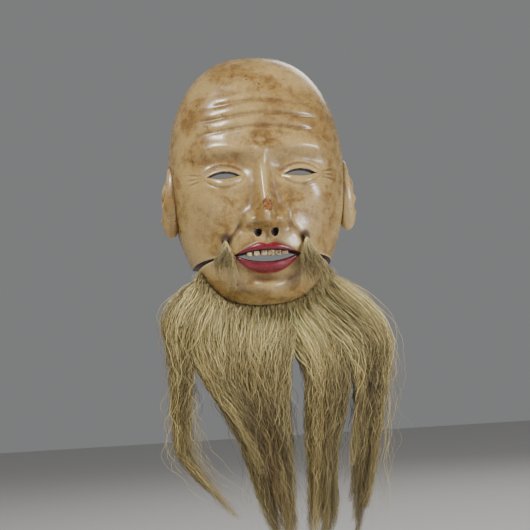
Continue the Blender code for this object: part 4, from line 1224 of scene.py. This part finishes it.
class Paint:
    """A node material being mixed. Each call adds a node and gives back its output."""

    def __init__(self, name):
        self.material = bpy.data.materials.new(name)
        self.material.use_nodes = True
        self.tree = self.material.node_tree
        self.shader = self.tree.nodes["Principled BSDF"]
        self.place = self.add("ShaderNodeTexCoord").outputs["Object"]

    def add(self, kind, **settings):
        node = self.tree.nodes.new(kind)
        for key, value in settings.items():
            setattr(node, key, value)
        return node

    def feed(self, socket, value):
        """Links an output to a socket, or sets a plain number or colour on it."""
        if isinstance(value, bpy.types.NodeSocket):
            self.tree.links.new(value, socket)
        elif isinstance(value, (tuple, np.ndarray)) and len(value) == 3 and socket.type == "RGBA":
            socket.default_value = (*value, 1.0)
        else:
            socket.default_value = value

    def stretched(self, x, y, z):
        """The place, stretched: a small number makes long marks that way."""
        node = self.add("ShaderNodeMapping")
        self.feed(node.inputs["Vector"], self.place)
        node.inputs["Scale"].default_value = (x, y, z)
        return node.outputs["Vector"]

    def noise(self, size, detail=4.0, rough=0.55, warp=0.0, place=None):
        """Soft noise whose blobs are about this size in metres."""
        node = self.add("ShaderNodeTexNoise")
        self.feed(node.inputs["Vector"], place or self.place)
        node.inputs["Scale"].default_value = 1 / size
        node.inputs["Detail"].default_value = detail
        node.inputs["Roughness"].default_value = rough
        node.inputs["Distortion"].default_value = warp
        return node.outputs["Fac"]

    def cells(self, size, feature="F1"):
        """The distance to the nearest of scattered points, about this far apart in metres."""
        node = self.add("ShaderNodeTexVoronoi", feature=feature)
        self.feed(node.inputs["Vector"], self.place)
        node.inputs["Scale"].default_value = 1 / size
        return node.outputs["Distance"]

    def remap(self, value, low, high, start=0.0, end=1.0):
        """Moves low..high to start..end, smoothly and clamped."""
        node = self.add("ShaderNodeMapRange", interpolation_type="SMOOTHSTEP")
        self.feed(node.inputs["Value"], value)
        for name, number in (("From Min", low), ("From Max", high), ("To Min", start), ("To Max", end)):
            node.inputs[name].default_value = number
        return node.outputs["Result"]

    def calc(self, operation, a, b):
        node = self.add("ShaderNodeMath", operation=operation)
        self.feed(node.inputs[0], a)
        self.feed(node.inputs[1], b)
        return node.outputs["Value"]

    def times(self, a, b):
        return self.calc("MULTIPLY", a, b)

    def mix(self, share, a, b):
        """Colour a where share is 0, colour b where it is 1."""
        node = self.add("ShaderNodeMix", data_type="RGBA")
        self.feed(node.inputs["Factor"], share)
        self.feed(node.inputs[6], a)
        self.feed(node.inputs[7], b)
        return node.outputs[2]

    def lay(self, colour, over, value, low, high, most=1.0):
        """Lays a colour over another as a value goes from low to high."""
        return self.mix(self.remap(value, low, high, 0.0, most), colour, over)

    def value_of(self, name):
        """A value stored on the mesh."""
        return self.add("ShaderNodeAttribute", attribute_name=name).outputs["Fac"]

    def colour_of(self, name):
        """A colour stored on the mesh."""
        return self.add("ShaderNodeAttribute", attribute_name=name).outputs["Color"]

    def relief(self, height, depth, below=None):
        """A bump this many metres deep, on top of another."""
        node = self.add("ShaderNodeBump")
        node.inputs["Distance"].default_value = depth
        self.feed(node.inputs["Height"], height)
        if below is not None:
            self.feed(node.inputs["Normal"], below)
        return node.outputs["Normal"]

    def finish(self, **sockets):
        """Feeds the shader's sockets, with underscores for spaces in their names."""
        for name, value in sockets.items():
            self.feed(self.shader.inputs[name.replace("_", " ")], value)
        return self.material


# The lacquer, from its palest to its darkest, then what is painted on it or has soiled it, and the painted
# shade round the hair roots.
PALE = (0.410, 0.284, 0.112)
OCHRE = (0.262, 0.156, 0.042)
GOLDEN = (0.130, 0.057, 0.012)
UMBER = (0.085, 0.036, 0.012)
GROUND = (0.640, 0.500, 0.250)
CRIMSON, DEEP_RED = (0.210, 0.005, 0.020), (0.120, 0.006, 0.012)
INK = (0.012, 0.008, 0.006)
RUST = (0.300, 0.110, 0.028)
# Painted shade round the hair roots.
SHADE_AT_ROOTS = (0.050, 0.026, 0.012)

# The other materials' pale and dark tones.
MAROON_DARK, MAROON_PALE = (0.036, 0.009, 0.006), (0.080, 0.027, 0.012)
MAROON_WORN = (0.190, 0.095, 0.045)
WOOD_PALE, WOOD_DARK = (0.330, 0.190, 0.090), (0.150, 0.075, 0.032)
PEG_PALE, PEG_DARK = (0.420, 0.260, 0.130), (0.230, 0.125, 0.055)
TOOTH_PALE, TOOTH_DARK = (0.620, 0.500, 0.300), (0.300, 0.170, 0.070)
CORD_DARK, CORD_PALE = (0.022, 0.011, 0.008), (0.090, 0.042, 0.022)
CORD_WORN = (0.180, 0.110, 0.060)
BUNDLE_DARK, BUNDLE_PALE = (0.018, 0.010, 0.006), (0.110, 0.065, 0.030)
FLOOR_PALE, FLOOR_DARK = (0.68, 0.67, 0.65), (0.62, 0.61, 0.59)


def aged_ivory(paint, broad, fine):
    """Ivory with golden mottling, fine grain and stains, dirty in its grooves and rubbed on its ridges."""
    colour = paint.lay(PALE, OCHRE, broad, 0.36, 0.66)
    blotch = paint.times(paint.remap(fine, 0.40, 0.62), paint.remap(broad, 0.40, 0.58, 0.15, 0.90))
    colour = paint.mix(paint.times(blotch, 0.8), colour, GOLDEN)
    grain = paint.noise(0.0013, 4, 0.7)
    colour = paint.lay(colour, OCHRE, grain, 0.50, 0.70, 0.55)
    colour = paint.lay(colour, GROUND, grain, 0.46, 0.28, 0.35)
    stained = paint.times(paint.value_of("stain"), paint.remap(fine, 0.38, 0.62))
    colour = paint.mix(paint.times(stained, 0.85), colour, GOLDEN)
    colour = paint.mix(paint.times(paint.value_of("groove"), 0.72), colour, UMBER)
    rubbed = paint.times(paint.value_of("ridge"), paint.remap(fine, 0.35, 0.6, 0.25, 0.8))
    return paint.mix(rubbed, colour, GROUND)


def specks_and_chips(paint, colour, dots, broad):
    """Small dark specks in patches, larger spots, and ragged chips through the lacquer."""
    patches = paint.remap(paint.noise(0.011, 2), 0.46, 0.60)
    small = paint.times(paint.remap(dots, 0.20, 0.09), patches)
    large = paint.times(paint.remap(paint.cells(0.008), 0.13, 0.06), paint.remap(broad, 0.42, 0.52))
    colour = paint.mix(paint.times(paint.calc("MAXIMUM", small, large), 0.95), colour, UMBER)
    ragged = paint.noise(0.0022, 5, 0.7)
    bared = paint.lay(RUST, UMBER, ragged, 0.42, 0.58)
    return paint.lay(colour, bared, paint.calc("ADD", paint.value_of("chip"), ragged), 0.92, 1.02)


def lips_and_lines(paint, colour, fine):
    """Red lips, painted shade between the hair roots, and ink lines."""
    lip = paint.times(paint.value_of("lip"), paint.remap(fine, 0.26, 0.36))
    red = paint.lay(CRIMSON, DEEP_RED, paint.noise(0.002, 5), 0.35, 0.65)
    colour = paint.mix(lip, colour, red)
    # Painted shade, nearly black, round the ends of the hair roots under the jaw.
    colour = paint.mix(paint.times(paint.value_of("soil"), 0.92), colour, SHADE_AT_ROOTS)
    ink = paint.times(paint.value_of("ink"), paint.remap(fine, 0.22, 0.42, 0.6, 1.0))
    return paint.mix(ink, colour, INK)


def lacquer():
    """Aged ivory lacquer, rougher in its grooves, and dark and dull round the hair roots, where shade is
    painted.
    """
    paint = Paint("ivory_lacquer")
    broad, fine = paint.noise(0.035, 5, 0.6, 0.3), paint.noise(0.006, 6, 0.62, 0.2)
    dots = paint.cells(0.0026)
    colour = aged_ivory(paint, broad, fine)
    colour = specks_and_chips(paint, colour, dots, broad)
    colour = lips_and_lines(paint, colour, fine)
    groove, soil = paint.value_of("groove"), paint.value_of("soil")
    rough = paint.remap(paint.noise(0.004, 5), 0.3, 0.7, 0.20, 0.37)
    rough = paint.calc("ADD", rough, paint.times(groove, 0.25))
    rough = paint.calc("ADD", rough, paint.times(soil, 0.55))
    gloss = {"Coat_Weight": paint.times(paint.calc("SUBTRACT", 1.0, soil), 0.28), "Coat_Roughness": 0.22}
    streaks = paint.noise(0.0016, 4, 0.6, 0.0, paint.stretched(1.0, 1.0, 0.35))
    normal = paint.relief(streaks, 0.00006)
    normal = paint.relief(paint.cells(0.0011, "SMOOTH_F1"), 0.00003, normal)
    normal = paint.relief(paint.remap(dots, 0.10, 0.20), 0.00008, normal)
    return paint.finish(Base_Color=colour, Roughness=rough, Normal=normal, **gloss)


def hollow_lacquer():
    """Dark maroon lacquer, brushed on thinly over gouge marks, rubbed through on their ridges."""
    paint = Paint("hollow_lacquer")
    broad, fine = paint.noise(0.03, 4), paint.noise(0.004, 6, 0.62)
    colour = paint.lay(MAROON_DARK, MAROON_PALE, broad, 0.35, 0.65)
    colour = paint.lay(colour, MAROON_WORN, fine, 0.56, 0.74, 0.8)
    rough = paint.remap(fine, 0.3, 0.7, 0.42, 0.68)
    brushed = paint.noise(0.0012, 4, 0.6, 0.0, paint.stretched(1.0, 1.0, 0.12))
    normal = paint.relief(fine, 0.00020, paint.relief(brushed, 0.00012))
    return paint.finish(Base_Color=colour, Roughness=rough, Normal=normal)


def bare_wood(name, pale, dark):
    """Straight-grained cypress, with growth rings, fine pores and grime."""
    paint = Paint(name)
    along = paint.stretched(1.0, 1.0, 0.07)
    rings = paint.noise(0.0022, 3, 0.5, 0.6, along)
    pores = paint.noise(0.0004, 2, 0.5, 0.0, along)
    grime = paint.noise(0.007, 5, 0.6)
    colour = paint.lay(pale, dark, rings, 0.38, 0.62)
    colour = paint.lay(colour, UMBER, pores, 0.58, 0.72, 0.7)
    colour = paint.lay(colour, UMBER, grime, 0.50, 0.72, 0.6)
    rough = paint.remap(grime, 0.3, 0.7, 0.55, 0.80)
    normal = paint.relief(pores, 0.00008, paint.relief(rings, 0.00015))
    return paint.finish(Base_Color=colour, Roughness=rough, Normal=normal)


def tooth_lacquer():
    """Old ivory paint on the teeth, worn brown in patches, with painted shade, nearly black, between them."""
    paint = Paint("tooth_lacquer")
    fine = paint.noise(0.0016, 5, 0.6)
    colour = paint.lay(TOOTH_PALE, TOOTH_DARK, fine, 0.35, 0.68)
    colour = paint.lay(colour, UMBER, paint.noise(0.0045, 3), 0.52, 0.66, 0.7)
    # Painted shade: nearly black where one tooth meets the next.
    colour = paint.mix(paint.value_of("between"), colour, INK)
    rough = paint.remap(fine, 0.3, 0.7, 0.25, 0.5)
    return paint.finish(Base_Color=colour, Roughness=rough, Normal=paint.relief(fine, 0.00008))


def cord_fibre():
    """Dark brown fibre, paler where it is worn."""
    paint = Paint("cord_fibre")
    fibre = paint.noise(0.00022, 3, 0.6, 0.0, paint.stretched(1.0, 0.4, 0.4))
    colour = paint.lay(CORD_DARK, CORD_PALE, fibre, 0.35, 0.65)
    colour = paint.lay(colour, CORD_WORN, paint.noise(0.0025, 4), 0.55, 0.75, 0.5)
    normal = paint.relief(fibre, 0.00008)
    fuzz = {"Sheen_Weight": 0.25, "Sheen_Roughness": 0.45}
    return paint.finish(Base_Color=colour, Roughness=0.82, Normal=normal, **fuzz)


def bound_hair():
    """The dark packed ends of a hair bundle."""
    paint = Paint("bound_hair")
    fibre = paint.noise(0.00028, 3, 0.6, 0.0, paint.stretched(1.0, 1.0, 0.10))
    colour = paint.lay(BUNDLE_DARK, BUNDLE_PALE, fibre, 0.36, 0.64)
    rough = paint.remap(fibre, 0.3, 0.7, 0.42, 0.7)
    return paint.finish(Base_Color=colour, Roughness=rough, Normal=paint.relief(fibre, 0.00012))


def horsehair():
    """The strands' own colours, with faint bands along each one and a soft gloss."""
    paint = Paint("horsehair")
    bands = paint.noise(0.0016, 3, 0.6)
    colour = paint.lay(paint.colour_of("tint"), HAIR_BROWN, bands, 0.40, 0.72, 0.35)
    rough = paint.remap(bands, 0.3, 0.7, 0.34, 0.52)
    return paint.finish(Base_Color=colour, Roughness=rough, Specular_IOR_Level=0.45, Sheen_Weight=0.1)


def floor_plaster():
    paint = Paint("floor_plaster")
    colour = paint.mix(paint.noise(0.02, 5, 0.6), FLOOR_PALE, FLOOR_DARK)
    return paint.finish(Base_Color=colour, Roughness=0.75)


# ---------------------------------------------------------------- building it all


def finish_piece(made, material):
    """Gives a piece its one material."""
    made.data.materials.append(material)


def build_wood():
    """The two carved shells and the upper teeth."""
    outside, inside, edge = lacquer(), hollow_lacquer(), bare_wood("bare_wood", WOOD_PALE, WOOD_DARK)
    for shell, node, body in ((upper_mask(), "mask_upper", "mask"), (lower_jaw(), "jaw", "jaw")):
        store_paint(shell)
        choose_materials(shell, outside, inside, edge)
        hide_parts(node)
        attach(shell, body)
    teeth = upper_teeth()
    finish_piece(teeth, tooth_lacquer())
    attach(teeth, "mask")


def build_fixings():
    """The jaw cords, and finer materials for the CAD's hair roots and pegs."""
    fibre = cord_fibre()
    for side, word in SIDES:
        cord = jaw_cord(side, word)
        finish_piece(cord, fibre)
        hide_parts(f"jaw_cord_{word}")
        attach(cord, "mask")
    finer = {"_root_": bound_hair(), "_peg_": bare_wood("peg_wood", PEG_PALE, PEG_DARK)}
    for kind, material in finer.items():
        for node in (NODES[name] for name in NODES if kind in name):
            for place in node.material_slots:
                place.material = material


def build_hair():
    """The beard's locks, the short hairs round the roots, the moustaches and the loose hairs."""
    material = horsehair()
    for node, row in LOCKS.items():
        comb_lock(node, material, *row)
    flare_hairs(material)
    for word, seed in MOUSTACHE_SEEDS.items():
        comb_moustache(word, material, seed)
    for node, row in STRAYS.items():
        stray_hairs(node, material, *row)


# Camera: the middle of the picture, how wide the picture is there, and the photograph's viewing angle.
LOOK_AT = Vector((0.0, -0.035, -0.092))
LENS, SENSOR = 100.0, 36.0
VIEW_WIDTH = 0.416
CAMERA_AZIMUTH, CAMERA_ELEVATION, CAMERA_ROLL = math.radians(-5.5), math.radians(-5.0), math.radians(3.4)


def build_camera():
    data = bpy.data.cameras.new("camera")
    data.lens, data.sensor_width = LENS, SENSOR
    camera = bpy.data.objects.new("camera", data)
    bpy.context.scene.collection.objects.link(camera)
    level = math.cos(CAMERA_ELEVATION)
    x, y = math.sin(CAMERA_AZIMUTH) * level, -math.cos(CAMERA_AZIMUTH) * level
    out = Vector((x, y, math.sin(CAMERA_ELEVATION)))
    camera.location = LOOK_AT + out * VIEW_WIDTH * LENS / SENSOR
    turn = out.to_track_quat("Z", "Y").to_matrix() @ Matrix.Rotation(-CAMERA_ROLL, 3, "Z")
    camera.rotation_euler = turn.to_euler()
    bpy.context.scene.camera = camera


# Lights: name, place, size, power in watts and colour.
LIGHTS = (
    ("key", (-0.70, -0.95, 1.05), 0.40, 30.0, (1.0, 0.97, 0.92)),
    ("fill", (1.15, -0.95, 0.02), 0.50, 18.0, (0.98, 0.98, 1.0)),
    ("back", (0.90, 1.50, 1.30), 1.00, 12.0, (1.0, 0.98, 0.95)),
)
LIGHT_AIM = Vector((0.0, -0.03, -0.08))
FLOOR_HEIGHT, FLOOR_SIZE = -0.40, 12.0
WORLD_COLOUR, WORLD_STRENGTH = (0.86, 0.87, 0.88), 0.24


def build_lights():
    for name, place, size, power, colour in LIGHTS:
        data = bpy.data.lights.new(name, "AREA")
        data.size, data.energy, data.color = size, power, colour
        light = bpy.data.objects.new(name, data)
        light.location = place
        light.rotation_euler = (light.location - LIGHT_AIM).to_track_quat("Z", "Y").to_euler()
        bpy.context.scene.collection.objects.link(light)


def build_surroundings():
    """The floor, and an even pale light from all round."""
    mesh = bmesh.new()
    bmesh.ops.create_grid(mesh, x_segments=1, y_segments=1, size=FLOOR_SIZE / 2)
    bmesh.ops.translate(mesh, verts=mesh.verts, vec=(0, 0, FLOOR_HEIGHT))
    floor = add_object("floor", mesh)
    floor.data.materials.append(floor_plaster())
    world = bpy.data.worlds.new("studio")
    world.use_nodes = True
    background = world.node_tree.nodes["Background"]
    background.inputs["Color"].default_value = (*WORLD_COLOUR, 1.0)
    background.inputs["Strength"].default_value = WORLD_STRENGTH
    bpy.context.scene.world = world


build_camera()
build_wood()
build_fixings()
build_hair()
build_lights()
build_surroundings()
